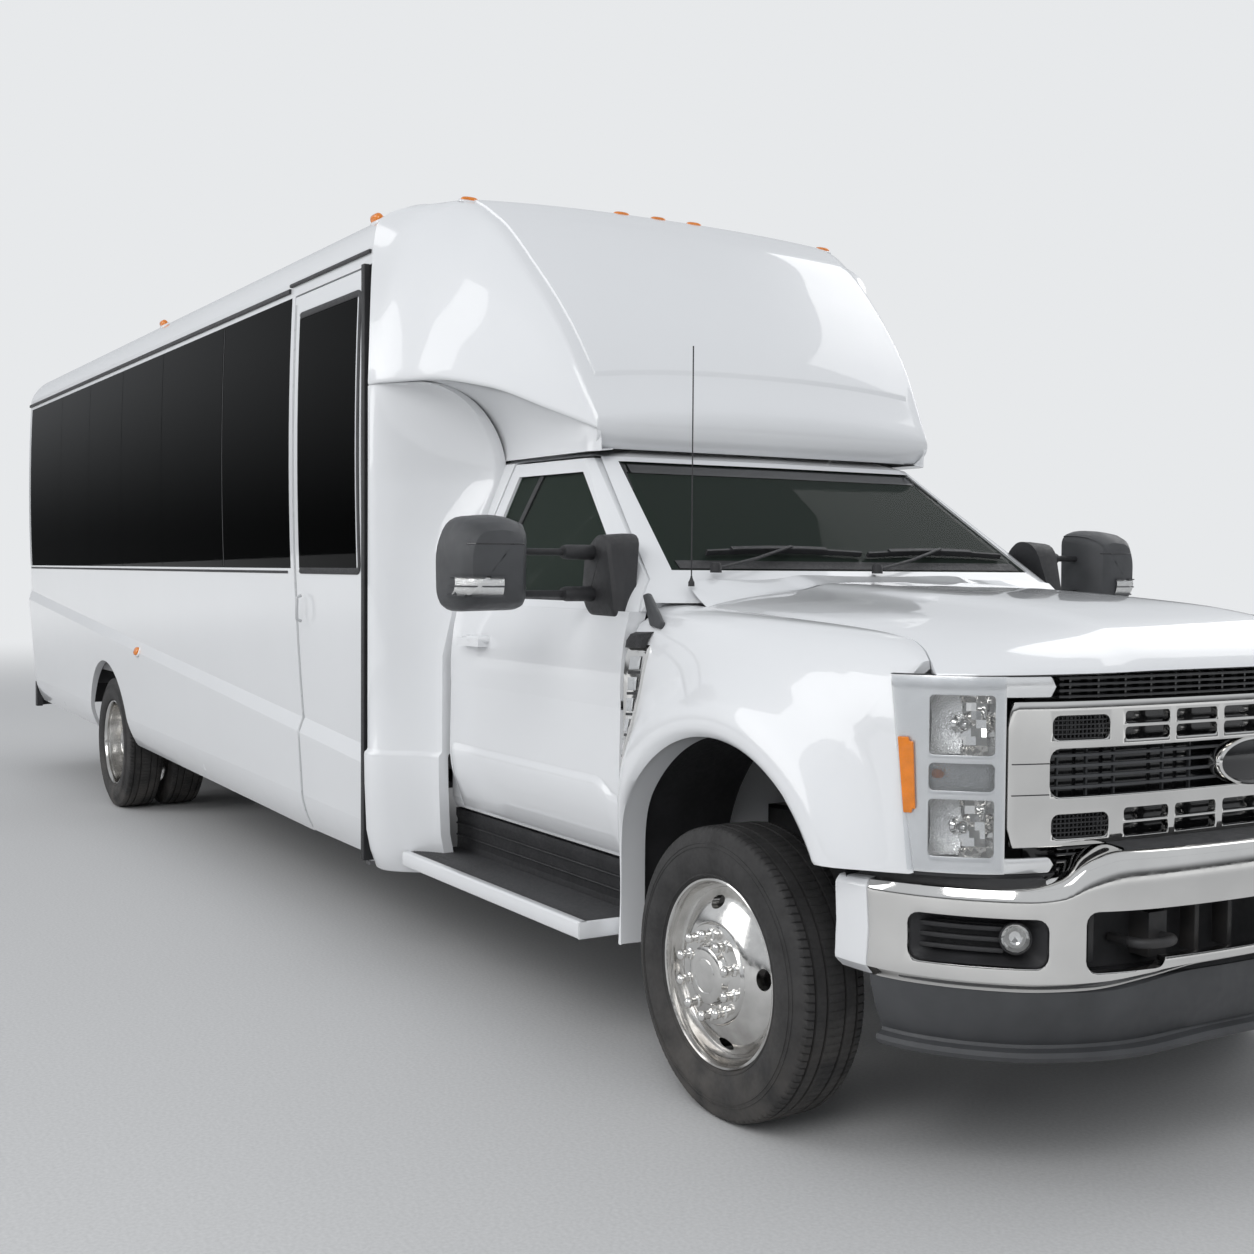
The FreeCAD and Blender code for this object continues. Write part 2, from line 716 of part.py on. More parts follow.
def lower_wall(x):
    """Section of the skirt panel and the belt moulding at a station."""
    b, s = belt(x), skirt(x)
    inner, waist = float(D.wall_plane), s + 165
    side, tuck = bow(950), float(D.skirt_tuck)
    return [
        (inner - tuck, s), (side - tuck, s, -SKIRT_BEND), (side, waist),
        (bow(b) + float(D.belt_proud), b - float(D.belt_bevel)), (bow(b) - 4, b), (inner, b),
        (inner, waist, SKIRT_BEND)]


def wall(x_front, x_rear):
    """Left wall between two stations, with no openings."""
    upper = prism(upper_wall(0, D.wall_plane), "yz", x_rear, x_front)
    lower = loft(wire(lower_wall(x_rear), "yz", x_rear), wire(lower_wall(x_front), "yz", x_front))
    return one(upper.fuse(lower))


# seams between the side panes, as shares of the band
PANE_SEAMS = (0, 0.1698, 0.3602, 0.5163, 0.6647, 0.813, 1)
LEFT_FIRST_PANE = 60


def rounded(x0, x1, z0, z1, r):
    """Outline of a rectangle with round corners."""
    x0, x1, z0, z1, r = map(float, (x0, x1, z0, z1, r))
    return [(x0 + r, z0), (x1 - r, z0, -r), (x1, z0 + r), (x1, z1 - r, -r),
            (x1 - r, z1), (x0 + r, z1, -r), (x0, z1 - r), (x0, z0 + r, -r)]


def pane_spans(side):
    front, rear = float(D.pane_front), float(COACH_REAR - D.pane_margin)
    seams = [front + (rear - front) * share for share in PANE_SEAMS]
    if side > 0:
        seams.insert(0, float(D.coach_front) + LEFT_FIRST_PANE)
    return list(zip(seams, seams[1:]))


def window_cuts(side):
    """The band's rebate and the opening behind each pane, on the left wall."""
    depth, frame = float(D.glass_thick + D.seat_gap), float(D.pane_frame)
    spans = pane_spans(side)
    low, high = float(D.pane_bottom) - 0.3, float(D.pane_top) + 0.3
    band = prism([(bow(low, depth), low, 0), (1400, low), (1400, high), (bow(high, depth), high,
                 float(D.bow_radius) - depth)], "yz", -spans[-1][1] - 0.3, -spans[0][0] + 0.3)
    tools = [band]
    for a, b in spans:
        tools.append(prism(rounded(-b + frame, -a - frame, low + frame, high - frame, 60), "xz", 1100, 1400))
    return tools


def pane_section(low, high):
    """Section of a pane that follows the wall's bow."""
    r, thick = float(D.bow_radius), float(D.glass_thick)
    outside = [(bow(low), low, -r), (bow(high), high)]
    return [(bow(low, thick), low)] + outside + [(bow(high, thick), high, r - thick)]


def panes(side):
    """The flush panes of one side, drawn on the left."""
    section = pane_section(float(D.pane_bottom), float(D.pane_top))
    return [prism(section, "yz", -b + 3, -a - 3) for a, b in pane_spans(side)]


def entry_outline(grow):
    """Side view of the entry door, grown by a gap; the front edge meets the front cap."""
    front = -float(D.entry_front) if grow == 0 else -float(D.coach_front) + 1
    rear = -float(D.entry_rear) - grow
    top = float(D.entry_top) + grow
    low = skirt(rear) - 60 if grow else skirt(rear) + 6
    return [(rear, low), (front, low), (front, top), (rear, top)]


def side_walls():
    front, rear = -D.coach_front, -COACH_REAR
    arch = rod((REAR_AXLE, 1000, D.tyre_radius), (REAR_AXLE, 1400, D.tyre_radius), D.arch_radius)
    full = wall(front, rear)
    for label, side in SIDES:
        solid = full.cut(window_cuts(side) + [arch])
        if side < 0:
            gap = float(D.running_gap)
            header = float(D.entry_top) + gap
            bore = rod((SHAFT_X, D.shaft_y, header - 5), (SHAFT_X, D.shaft_y, header + 25),
                       D.shaft_radius + D.bearing_play)
            solid = flip(solid.cut([prism(entry_outline(gap), "xz", 1000, 1400), bore]))
        node("side_wall_" + label, shaped("side_wall_" + label, one(solid)))


SHAFT_X = -2148


def entry_door():
    """A single leaf that turns outward on a shaft at its front edge."""
    full = wall(-D.coach_front, -3100)
    leaf = full.common(prism(entry_outline(0), "xz", 1000, 1400))
    low, high = float(D.pane_bottom), float(D.pane_top) - 100
    x0, x1 = -float(D.entry_rear) + 60, -float(D.entry_front) - 60
    depth = float(D.glass_thick + D.seat_gap)
    rebate = prism([(bow(low, depth), low), (1400, low), (1400, high), (bow(high, depth), high,
                   float(D.bow_radius) - depth)], "yz", x0, x1)
    hole = prism(rounded(x0 + 25, x1 - 25, low + 25, high - 25, 50), "xz", 1100, 1400)
    leaf = leaf.cut([rebate, hole])
    shaft_low, shaft_high = skirt(SHAFT_X) + 13, float(D.entry_top + D.running_gap) + 20
    y = float(D.shaft_y)
    shaft = rod((SHAFT_X, y, shaft_low), (SHAFT_X, y, shaft_high), D.shaft_radius)
    arms = [block(SHAFT_X, -float(D.entry_front) - 5, y - 10, y - 2, z - 30, z + 30)
            for z in (520, 1100, 1700, 2300, 2620)]
    solid = leaf.multiFuse([shaft] + arms)
    node("entry_door", shaped("entry_door", flip(one(solid))))
    edge = 0.3
    pane = prism(pane_section(low + edge, high - edge), "yz", x0 + edge, x1 - edge)
    node("entry_glass", shaped("entry_glass", flip(pane)))


ROOF_CORNER = 260
ROOF_CROWN = 9000
ROOF_EDGE = (1000, 55)


def roof_half(inset):
    """Half of the roof's section, from the crown out to the eave."""
    top, eave = float(ROOF_TOP) - inset, float(D.eave_height)
    edge_y, drop = ROOF_EDGE
    return [(0, top, ROOF_CROWN), (edge_y - inset * 0.7, top - drop, ROOF_CORNER - inset * 0.5),
            (bow(eave, inset), eave)]


def roof_solid():
    front, rear = -float(D.coach_front), -float(COACH_REAR)
    outer, inner = roof_half(0), roof_half(float(D.roof_wall))
    inner.append((inner[-1][0], inner[-1][1] - 20))
    hollow = prism(symmetric(inner, 0), "yz", rear - 5, front + 5)
    return one(prism(symmetric(outer, 0), "yz", rear, front).cut(hollow))


def roof():
    node("roof", shaped("roof", roof_solid()))


def coach_half(x, inset, thick=0.0):
    """Half of the whole coach section, from the crown down to the skirt."""
    t = inset + thick
    s, b = skirt(x) + inset * 0.3, belt(x)
    eave = float(D.eave_height) - inset * 0.4
    edge_y, drop = ROOF_EDGE
    top = float(ROOF_TOP) - t
    side = bow(950, t)
    low = s - (20 if thick else 0)
    return [
        (0, top, ROOF_CROWN), (edge_y - t * 0.7, top - drop, ROOF_CORNER - t * 0.4),
        (bow(float(D.eave_height), t), eave, float(D.bow_radius)), (bow(b, t), b),
        (bow(b, t) + float(D.belt_proud), b - float(D.belt_bevel)), (side, s + 165, SKIRT_BEND),
        (side - float(D.skirt_tuck), low)]


BUMPER_REAR_TOP = 640
TAIL_STEPS = ((0, 0), (0.62, 28), (0.92, 75), (1, 130))
WINDOW_REAR = (700, 1500, 2350)


def rear_cap():
    """The rounded tail, with its window and a plate recess."""
    rear, depth, thick = -float(COACH_REAR), float(D.cap_depth), float(D.roof_wall)
    outer, inner = [], []
    for share, inset in TAIL_STEPS:
        outer.append(wire(symmetric(coach_half(rear, inset), 0), "yz", rear - depth * share))
        x = rear - (depth - thick) * share if share else rear + 1
        inner.append(wire(symmetric(coach_half(rear, inset, thick), 0), "yz", x))
    outer, inner = loft(*outer), loft(*inner)
    half, low, high = WINDOW_REAR
    glass = float(D.glass_thick + D.seat_gap)
    face = rear - depth
    rebate = prism(rounded(-half, half, low, high, 90), "yz", face + glass, face - 50)
    hole = prism(rounded(-half + 40, half - 40, low + 40, high - 40, 60), "yz", face - 50, face + 90)
    recess = prism(rounded(-190, 190, 1000, 1160, 20), "yz", face + 15, face - 50)
    base = block(face - 50, rear + 5, -1400, 1400, 0, BUMPER_REAR_TOP + float(D.running_gap))
    solid = one(outer.cut([inner, rebate, hole, recess, base]))
    node("rear_cap", shaped("rear_cap", solid))


def coach_glass():
    left, right = panes(1), [flip(p) for p in panes(-1)]
    half, low, high = WINDOW_REAR
    tail, edge = float(TAIL), float(D.seat_gap)
    outline = rounded(-half + edge, half - edge, low + edge, high - edge, 90)
    back = prism(outline, "yz", tail, tail + float(D.glass_thick))
    node("coach_glass", shaped("coach_glass", Part.makeCompound(left + right + [back])))


def coach_floor():
    """Floor, cross bearers on the rails, and the stepwell inside the entry door."""
    half, top, thick = float(D.wall_plane) - 2, float(D.floor_top), float(D.floor_thick)
    front, rear = -float(D.cab_rear) - 6, -float(COACH_REAR) + 5
    rail_top = float(D.rail_bottom + D.rail_height)
    slab = block(rear, -float(D.coach_front) - 1, -half, half, top - thick, top)
    slab = slab.fuse(block(rear, front, -950, 950, top - thick, top))
    well0, well1 = -float(D.entry_rear) + 20, -float(D.entry_front) - 10
    tread = skirt(well0) + 40
    mid = (tread + top) / 2
    slab = slab.cut(block(well0, well1, -half - 5, -680, top - thick - 5, top + 5))
    outline = [(-1095, tread - 25), (-1095, tread), (-910, tread), (-910, mid), (-680, mid),
               (-680, top - thick), (-655, top - thick), (-655, mid - 25), (-885, mid - 25),
               (-885, tread - 25)]
    stairs = prism(outline, "yz", well0, well1)
    bearers = []
    for i in range(int((front - rear) // 850) + 1):
        x = rear + 60 + 850 * i
        side = half - 20 if x < -float(D.coach_front) - 60 else 940
        reach = -640 if well0 - 60 < x < well1 + 60 else -side
        bearers.append(block(x, x + 50, reach, side, rail_top, top - thick))
    y, z = -float(D.shaft_y), skirt(SHAFT_X) + 12
    bracket = block(SHAFT_X - 18, SHAFT_X + 18, y - 18, y + 110, z, z + 14)
    arm = block(SHAFT_X - 60, SHAFT_X + 18, y + 95, y + 125, z, tread)
    bore = rod((SHAFT_X, y, z - 5), (SHAFT_X, y, z + 30), D.shaft_radius + D.bearing_play)
    solid = slab.multiFuse([stairs, bracket, arm] + bearers).cut(bore)
    node("coach_floor", shaped("coach_floor", one(solid)))


SEAT_REACH = 570


def seat(x, y, z, width):
    """One double seat facing forward: a base on a leg and a leaning back."""
    base = prism([(x - 400, z + 330), (x + 20, z + 345), (x + 45, z + 390), (x + 20, z + 425),
                  (x - 400, z + 405)], "xz", y - width / 2, y + width / 2)
    back = prism([(x - 400.3, z + 335), (x - 400.3, z + 410), (x - 485, z + 1050), (x - 530, z + 1075),
                  (x - 560, z + 1050), (x - 500, z + 340)], "xz", y - width / 2, y + width / 2)
    leg = block(x - 260, x - 140, y - width / 2 + 60, y + width / 2 - 60, z, z + 336)
    return [one(base.fuse(leg)), back]


def seats():
    """Rows of double seats either side of the aisle, and the two cab seats."""
    made = []
    top, width = float(D.floor_top), float(D.seat_width)
    row_room = float(COACH_REAR - D.first_row) - SEAT_REACH
    seat_y = float(D.wall_plane) - width / 2 - 45
    for i in range(int(row_room / float(D.row_pitch)) + 1):
        x = -float(D.first_row) - float(D.row_pitch) * i
        for y in (-seat_y, seat_y):
            made += seat(x, y, top, width)
    node("coach_seats", shaped("coach_seats", Part.makeCompound(made)))
    cab = []
    for y in (-470, 470):
        cab += seat(-1240, y, float(D.cab_floor), 520)
    node("cab_seats", shaped("cab_seats", Part.makeCompound(cab)))


# Front cap. Sections run from the coach's front to the brow over the windshield: how far ahead
# of the coach's front, then crown height, ridge y and height, shoulder y and height, lower edge
# y and height. A y is a share of the body's half width, and a height is a share of the rise
# from the cab's roof to the coach's.
CAP_SECTIONS = (
    (0, 1.0, 0.806, 0.945, 0.982, 0.760, 0.998, 0.2236),
    (70, 0.998, 0.730, 0.968, 0.907, 0.760, 0.990, 0.2256),
    (260, 0.893, 0.703, 0.862, 0.831, 0.641, 0.906, 0.2325),
    (500, 0.685, 0.676, 0.649, 0.746, 0.471, 0.800, 0.1916),
    (730, 0.425, 0.645, 0.385, 0.676, 0.271, 0.700, 0.1018),
    (920, 0.114, 0.609, 0.064, 0.6145, 0.042, 0.616, 0.016),
)
CAP_WALL = 40
CAP_CROWN, CAP_CHEEK, CAP_FLANK = 9000, 900, 6000
CAP_SEAT_HALF = 620
PANEL_PROUD = 9


def cap_wire(section, inset, back=0):
    """Section of the cap, set in by inset."""
    ahead, crown_share, ridge, ridge_share, side, side_share, low, low_share = section
    half_body, base = float(D.body_width) / 2, float(D.cab_roof)
    rise = float(ROOF_TOP) - base
    half = [(0, base + rise * crown_share - inset, CAP_CROWN),
            (half_body * ridge - inset, base + rise * ridge_share - inset, CAP_CHEEK),
            (half_body * side - inset, base + rise * side_share - inset, CAP_FLANK),
            (half_body * low - inset, base + rise * low_share + inset * 0.5),
            (CAP_SEAT_HALF - inset, base + float(D.running_gap) + inset)]
    return wire(symmetric(half, 0), "yz", ahead - float(D.coach_front) - back)


def cap_outer():
    return loft(*[cap_wire(s, 0) for s in CAP_SECTIONS])


def cap_panel():
    """The raised panel on the slope between the cap's ridges."""
    form = loft(*[cap_wire(s, -PANEL_PROUD) for s in CAP_SECTIONS[1:]])
    ridges = [(s[0] - float(D.coach_front), s[2] * float(D.body_width) / 2 - 45) for s in CAP_SECTIONS[1:]]
    (x0, y0), (x1, y1) = (ridges[0][0] + 60, ridges[0][1]), (ridges[-1][0] - 70, ridges[-1][1])
    outline = [(x0, -y0), (x1, -y1), (x1, y1), (x0, y0)]
    return form.common(prism(outline, "xy", float(D.cab_roof) + 150, float(ROOF_TOP) + 50))


def front_cap():
    """The nose over the cab, with the fairing that joins the cab's sides to the coach."""
    inner = loft(cap_wire(CAP_SECTIONS[0], CAP_WALL, 1), *[cap_wire(s, CAP_WALL) for s in CAP_SECTIONS[1:5]])
    nose = cap_outer().fuse(cap_panel()).cut(inner)
    back, edge = -float(D.coach_front), -float(D.door_rear) - float(D.running_gap)
    half_back, half_edge = float(D.body_width) / 2, float(D.cab_half) + 8
    low, crease = skirt(back), 830
    top = float(D.cab_roof) + (float(ROOF_TOP) - float(D.cab_roof)) * CAP_SECTIONS[0][-1] + 4

    def plan(proud):
        inner = 38 - min(proud, 0)
        return [(back, half_back + proud), (back + 50, half_back + proud), (edge, half_edge + proud),
                (edge, half_edge - inner), (back + 40, half_back - inner), (back, half_back - inner)]
    steps = ((low, -45), (low + 150, 2), (crease - 12, 14), (crease, 0), (top, 0))
    columns = []
    for (z0, p0), (z1, p1) in zip(steps, steps[1:]):
        columns.append(loft(wire(plan(p0), "xy", z0), wire(plan(p1), "xy", z1)))
    column = columns[0].multiFuse(columns[1:])
    solid = one(nose.multiFuse([column, flip(column)]))
    node("front_cap", shaped("front_cap", solid))


# Cab. Plan outlines of the upper cab at three heights.
# z, front x at the middle, corner start y, corner end x, corner end y, rear y
CAB_SECTIONS = (
    (1400, -433, 760, -640, 962, 985),
    (1930, -1183, 640, -1290, 742, 772),
    (1998, -1340, 470, -1430, 560, 600),
)
CAB_SIDE = ((958, 620), (1008, 760, -420), (1020, 870), (1016, 1100, -900), (985, 1400))


def cab_plan(section, inset):
    z, front, corner_y, end_x, end_y, rear_y = section
    half = [(front - inset * 1.6, 0), (front - 18 - inset * 1.6, corner_y - inset * 0.6, -190),
            (end_x - inset * 0.6, end_y - inset), (-float(D.cab_rear), rear_y - inset)]
    return wire(symmetric(half, 1), "xy", z if z < 1990 else z - inset)


def cab_solid(inset):
    """The cab's outer form, set in by a wall."""
    upper = loft(*[cab_plan(s, inset) for s in CAB_SECTIONS])
    upper_low = loft(cab_plan((1380,) + CAB_SECTIONS[0][1:], inset), cab_plan(CAB_SECTIONS[0], inset))
    side = [(y - inset, z) + tuple(c) for (y, z, *c) in CAB_SIDE]
    half = [(0, 1400)] + [(p[0], p[1]) + ((-q[2],) if len(q) > 2 else ())
                          for p, q in zip(side[::-1], side[-2::-1] + [side[0]])] + [(0, 620)]
    section = symmetric_closed(half)
    lower = prism(section, "yz", -float(D.cab_rear), -float(D.cab_front))
    front_trim = block(-float(D.cab_front), 0, -1200, 1200, 1000, 1401)
    return lower.multiFuse([upper, upper_low.cut(front_trim)])


def symmetric_closed(half):
    """Outline from a half that starts and ends on the centre line, in (y, z)."""
    left = half[1:-1]
    right = []
    for i in range(len(left) - 1, -1, -1):
        r = left[i - 1][2:] if i > 0 else ()
        right.append((-left[i][0], left[i][1]) + tuple(r))
    return left + right


def door_outline(grow):
    """Side view of a cab door, grown by the gap round it."""
    front, rear = -float(D.door_front) + grow, -float(D.door_rear) - grow
    low, belt_z = float(D.sill_height) - grow, float(D.cab_belt)
    top = 1925 + grow
    back_top = rear + 48 - grow * 0.6
    return [(rear, low), (front, low), (front, belt_z), (-655 + grow, belt_z + 100), (-1255 + grow, top),
            (back_top, top), (rear, belt_z + 20)]


def door_window(shrink):
    """Side view of the opening for the glass in a cab door."""
    s = shrink
    return [(-1745 + s, 1425 + s), (-700 - s, 1425 + s), (-700 - s, 1477 - s), (-1263 - s, 1875 - s),
            (-1715 + s, 1875 - s)]


HINGE_X = -652
HINGE_Y = 1000
HINGE_HEIGHTS = (870, 1110)
FLOOR_HALF = 862
FIREWALL = 40


def cab_shell():
    """Firewall, pillars, rear frame and roof, with the door openings, and the pan that is its floor."""
    skin = 34
    front, rear = -float(D.cab_front), -float(D.cab_rear)
    inner = cab_solid(skin).common(block(rear - 5, front - FIREWALL, -1200, 1200, 600, 2100))
    shell = cab_solid(0).cut(inner)
    gap = float(D.running_gap)
    opening = prism(door_outline(gap), "xz", 500, 1200)
    rear_trim = block(rear - 5, -float(D.door_rear) - gap, 972, 1200, 500, 2100)
    shell = shell.cut([opening, flip(opening), rear_trim, flip(rear_trim)])
    floor_top, rail_top = float(D.cab_floor), float(D.rail_bottom + D.rail_height)
    floor = block(rear, front, -FLOOR_HALF, FLOOR_HALF, floor_top - 40, floor_top)
    firewall = block(front - FIREWALL, front, -FLOOR_HALF, FLOOR_HALF, 640, 1401)
    hump = block(rear, front, -230, 230, floor_top - 45, floor_top + 60)
    posts = []
    for side in (-1, 1):
        posts.append(block(-668, front, side * (FLOOR_HALF - 45), side * FLOOR_HALF, 640, 1385))
        posts.append(block(rear, -float(D.door_rear) - gap, side * 840, side * 955, 630, 1400))
    legs = [block(x - 40, x + 40, side * 380, side * 450, rail_top, floor_top - 30)
            for x in (-700, -1750) for side in (-1, 1)]
    pan = floor.fuse(hump)
    solid = shell.multiFuse([firewall] + posts)
    hinges = []
    for z in HINGE_HEIGHTS:
        for side in (-1, 1):
            arm = block(HINGE_X - 9, HINGE_X + 9, side * (FLOOR_HALF - 20), side * HINGE_Y, z - 8, z + 8)
            knuckle = rod((HINGE_X, side * HINGE_Y, z - 8), (HINGE_X, side * HINGE_Y, z + 8), 11)
            hinges += [arm, knuckle]
    bores = [rod((HINGE_X, side * HINGE_Y, z - 20), (HINGE_X, side * HINGE_Y, z + 20), 5 + D.bearing_play)
             for z in HINGE_HEIGHTS for side in (-1, 1)]
    tunnel = block(rear - 5, front + 5, -450, 450, 600, rail_top + 15)
    cowl = block(front, 0, -1200, 1200, 1000, 1428)
    solid = solid.multiFuse(hinges).cut(bores + [windshield_opening(0), tunnel, cowl])
    solid = one(solid.fuse(hood_brackets()))
    node("cab_shell", shaped("cab_shell", solid))
    pan = one(pan.cut([tunnel, solid]).multiFuse([leg.cut(solid) for leg in legs]))
    node("cab_floor", shaped("cab_floor", pan))


def windshield_opening(shrink):
    s = shrink
    outline = [(-790 + s, 1530 + s), (790 - s, 1530 + s), (668 - s, 1912 - s), (-668 + s, 1912 - s)]
    return prism(outline, "yz", -1300, -300)


def windshield():
    pane = cab_solid(8).cut(cab_solid(8 + float(D.glass_thick) / 1.3)).common(windshield_opening(0.3))
    pane = max(pane.Solids, key=lambda s: s.Volume)
    node("windshield", shaped("windshield", pane))


HANDLE = (-1700, -1520, 1262)


def door_handle():
    """A bar on two feet, high on the door's rear."""
    x0, x1, z = HANDLE
    y = 1003
    bar = block(x0, x1, y + 30, y + 48, z - 14, z + 14)
    feet = [block(x, x + 34, y - 12, y + 32, z - 14, z + 14) for x in (x0, x1 - 34)]
    return [bar] + feet


def cab_doors():
    skin = 34
    outer, inner_low = cab_solid(0), cab_solid(float(D.door_thick))
    lower_zone = block(-3000, 0, -1300, 1300, 500, float(D.cab_belt))
    upper_zone = block(-3000, 0, -1300, 1300, float(D.cab_belt) - 1, 2100)
    shell = outer.cut([inner_low.common(lower_zone), cab_solid(skin).common(upper_zone)])
    leaf = shell.common(prism(door_outline(0), "xz", 300, 1200)).cut(prism(door_window(0), "xz", 300, 1200))
    sheet = cab_solid(12).cut(cab_solid(12 + float(D.glass_thick)))
    pane = sheet.common(prism(door_window(float(D.seat_gap)), "xz", 300, 1200))
    for z in HINGE_HEIGHTS:
        pocket = block(-float(D.door_front) + 5, HINGE_X - 16, 900, HINGE_Y + 14, z - 14, z + 14)
        leaf = leaf.cut(pocket)
        pin = rod((HINGE_X, HINGE_Y, z - 26), (HINGE_X, HINGE_Y, z + 26), 5)
        leaf = leaf.fuse(pin)
    leaf = one(leaf.multiFuse(door_handle()))
    pane = max(pane.Solids, key=lambda s: s.Volume)
    for label, side in SIDES:
        node("cab_door_" + label, shaped("cab_door_" + label, leaf if side > 0 else flip(leaf)))
        node("cab_glass_" + label, shaped("cab_glass_" + label, pane if side > 0 else flip(pane)))


def mirrors():
    """Tall towing mirrors on two arms, carried by the doors."""
    head_plan = [(-905, 1235), (-860, 1235), (-830, 1290), (-835, 1440), (-870, 1500), (-905, 1500)]
    top_plan = [(x, y - (12 if y > 1400 else 0)) for x, y in head_plan]
    head = loft(wire(head_plan, "xy", 1395), wire(top_plan, "xy", 1705))
    base = loft(wire([(-880, 930), (-690, 938), (-690, 985), (-800, 1010), (-880, 1010)], "xy", 1432),
                wire([(-880, 905), (-790, 908), (-790, 950), (-830, 985), (-880, 985)], "xy", 1560))
    arms = [rod((-868, 960, z), (-868, 1260, z), 13) for z in (1470, 1530)]
    glass = one(cab_solid(0).common(block(-1300, -500, 500, 1200, 1300, 1700)))
    solid = one(base.multiFuse([head] + arms).cut(glass))
    solid = max(solid.Solids, key=lambda s: s.Volume) if len(solid.Solids) > 1 else solid
    for label, side in SIDES:
        node("mirror_" + label, shaped("mirror_" + label, solid if side > 0 else flip(solid)))


def cab_inside():
    """Dashboard and steering wheel."""
    outline = [(-640, 1180), (-640, 1392), (-760, 1392), (-930, 1330), (-960, 1230), (-900, 1120),
               (-760, 1080)]
    dash = prism(outline, "xz", 50 - FLOOR_HALF, FLOOR_HALF - 50)
    firewall = -float(D.cab_front) - FIREWALL
    feet = [block(-640, firewall, side * 600, side * 640, 1200, 1350) for side in (-1, 1)]
    node("dashboard", shaped("dashboard", one(dash.multiFuse(feet))))
    centre, lean = Vector(-1050, 470, 1330), math.radians(62)
    tilt = Vector(math.sin(lean), 0, -math.cos(lean))
    rim = Part.makeTorus(190, 14, centre, tilt)
    column = Part.makeCylinder(28, 150, centre - tilt * 6, tilt)
    spokes = [rod(centre, centre + Rotation(tilt, a).multVec(Vector(0, 188, 0)), 10) for a in (0, 180, 270)]
    node("steering_wheel", shaped("steering_wheel", one(rim.multiFuse([column] + spokes).cut(dash))))


# Hood: edge z and centre z at each station. The dome is a table of (share of the half width,
# share of the rise from edge to centre).
HOOD_SECTIONS = ((-415, 1418, 1496), (0, 1398, 1476), (513, 1352, 1440), (640, 1306, 1416), (930, 1262, 1300))
HOOD_DOME = ((0.40, 0.94), (0.50, 0.68))
HOOD_AXIS = (-400, 1392)


def hood_plan(inset):
    half = float(D.hood_half) - 4 - inset
    front = [(930 - inset, 0, -1500), (840 - inset, 520, -420), (575 - inset, half)]
    return symmetric(front + [(-415 + inset, half)], 1)


def hood_form(drop):
    wires = []
    half = float(D.hood_half) + 20
    for x, edge, centre in HOOD_SECTIONS:
        rise = centre - edge
        (s0, g0), (s1, g1) = HOOD_DOME
        top_y, foot_y = half * s0, half * s1
        top_z, foot_z = edge + rise * g0 - drop, edge + rise * g1 - drop
        middle = crown(top_y, rise * (1 - g0))
        flank = 4 * (half - foot_y)
        outline = [(-half, 1050), (-half, edge - drop, flank), (-foot_y, foot_z), (-top_y, top_z, middle),
                   (top_y, top_z), (foot_y, foot_z, flank), (half, edge - drop), (half, 1050)]
        wires.append(wire(outline, "yz", x))
    return loft(*wires)


def hood():
    """A pressed panel with turned-down edges, hinged at the cowl."""
    skin = float(D.skin)
    outer = hood_form(0).common(prism(hood_plan(0), "xy", 1000, 1600))
    inner = hood_form(skin).common(prism(hood_plan(skin), "xy", 1000, 1600))
    x, z = HOOD_AXIS
    notches = [block(x - 25, x + 20, side * 522, side * 628, 1300, z + 24) for side in (-1, 1)]
    under = [(-500, 1000), (-500, 1352), (513, 1296), (620, 1268), (1000, 1268), (1000, 1000)]
    lip = prism(under, "xz", -900, 900)
    panel = outer.cut([inner, lip] + notches)
    ears = []
    for side in (-1, 1):
        ears.append(block(x - 12, x + 30, side * 560, side * 590, z - 12, z + 50))
        ears.append(rod((x, side * 560, z), (x, side * 590, z), 14))
        ears.append(rod((x, side * 530, z), (x, side * 620, z), 7))
    node("hood", shaped("hood", one(panel.multiFuse(ears))))


def hood_brackets():
    """Ears on the firewall that hold the hood's pins."""
    x, z = HOOD_AXIS
    made = []
    for side in (-1, 1):
        for y0, y1 in ((534, 554), (596, 616)):
            outline = [(-578, 1250), (-578, 1330), (x - 12, z + 12), (x + 12, z + 12), (x + 12, z - 12)]
            plate = prism(outline, "xz", side * y0, side * y1)
            made.append(plate.cut(rod((x, side * 500, z), (x, side * 640, z), 7 + D.bearing_play)))
    return made


FENDER_INNER, FENDER_SIDE = 804, 1003
FENDER_SECTIONS = ((-574, 1408), (0, 1396), (513, 1350), (640, 1270))
FENDER_VIEW = ((-574, 383), (-574, 1500), (640, 1500), (640, 828), (530, 800), (0, 800), (0, 383))


def fender_form(inset):
    wires = []
    for x, top in FENDER_SECTIONS:
        t = top - inset
        inner = FENDER_INNER - bool(inset)
        wires.append(wire([(inner, 300), (inner, t), (880, t - 8, 150), (FENDER_SIDE - inset, t - 130),
                           (FENDER_SIDE - inset, 300)], "yz", x))
    return loft(*wires)


def fenders():
    """A pressed wing with a flared arch over each front wheel."""
    skin = float(D.skin)
    centre_z, r = float(D.front_arch_height), float(D.front_arch)
    form = fender_form(0).cut(fender_form(skin))
    flare = Part.makeCone(r + 120, r + 30, 97, Vector(0, FENDER_SIDE, centre_z), Vector(0, 1, 0))
    tyre_hole = rod((0, 700, centre_z), (0, 1300, centre_z), r)
    lip = Part.makeCylinder(r + 22, 100, Vector(0, 990, centre_z), Vector(0, 1, 0))
    flare = flare.fuse(lip).common(prism(FENDER_VIEW, "xz", 900, 1300))
    solid = one(form.common(prism(FENDER_VIEW, "xz", 700, 1300)).fuse(flare).cut(tyre_hole))
    solid = solid if len(solid.Solids) <= 1 else max(solid.Solids, key=lambda s: s.Volume)
    node("fenders", shaped("fenders", Part.makeCompound([solid, flip(solid)])))


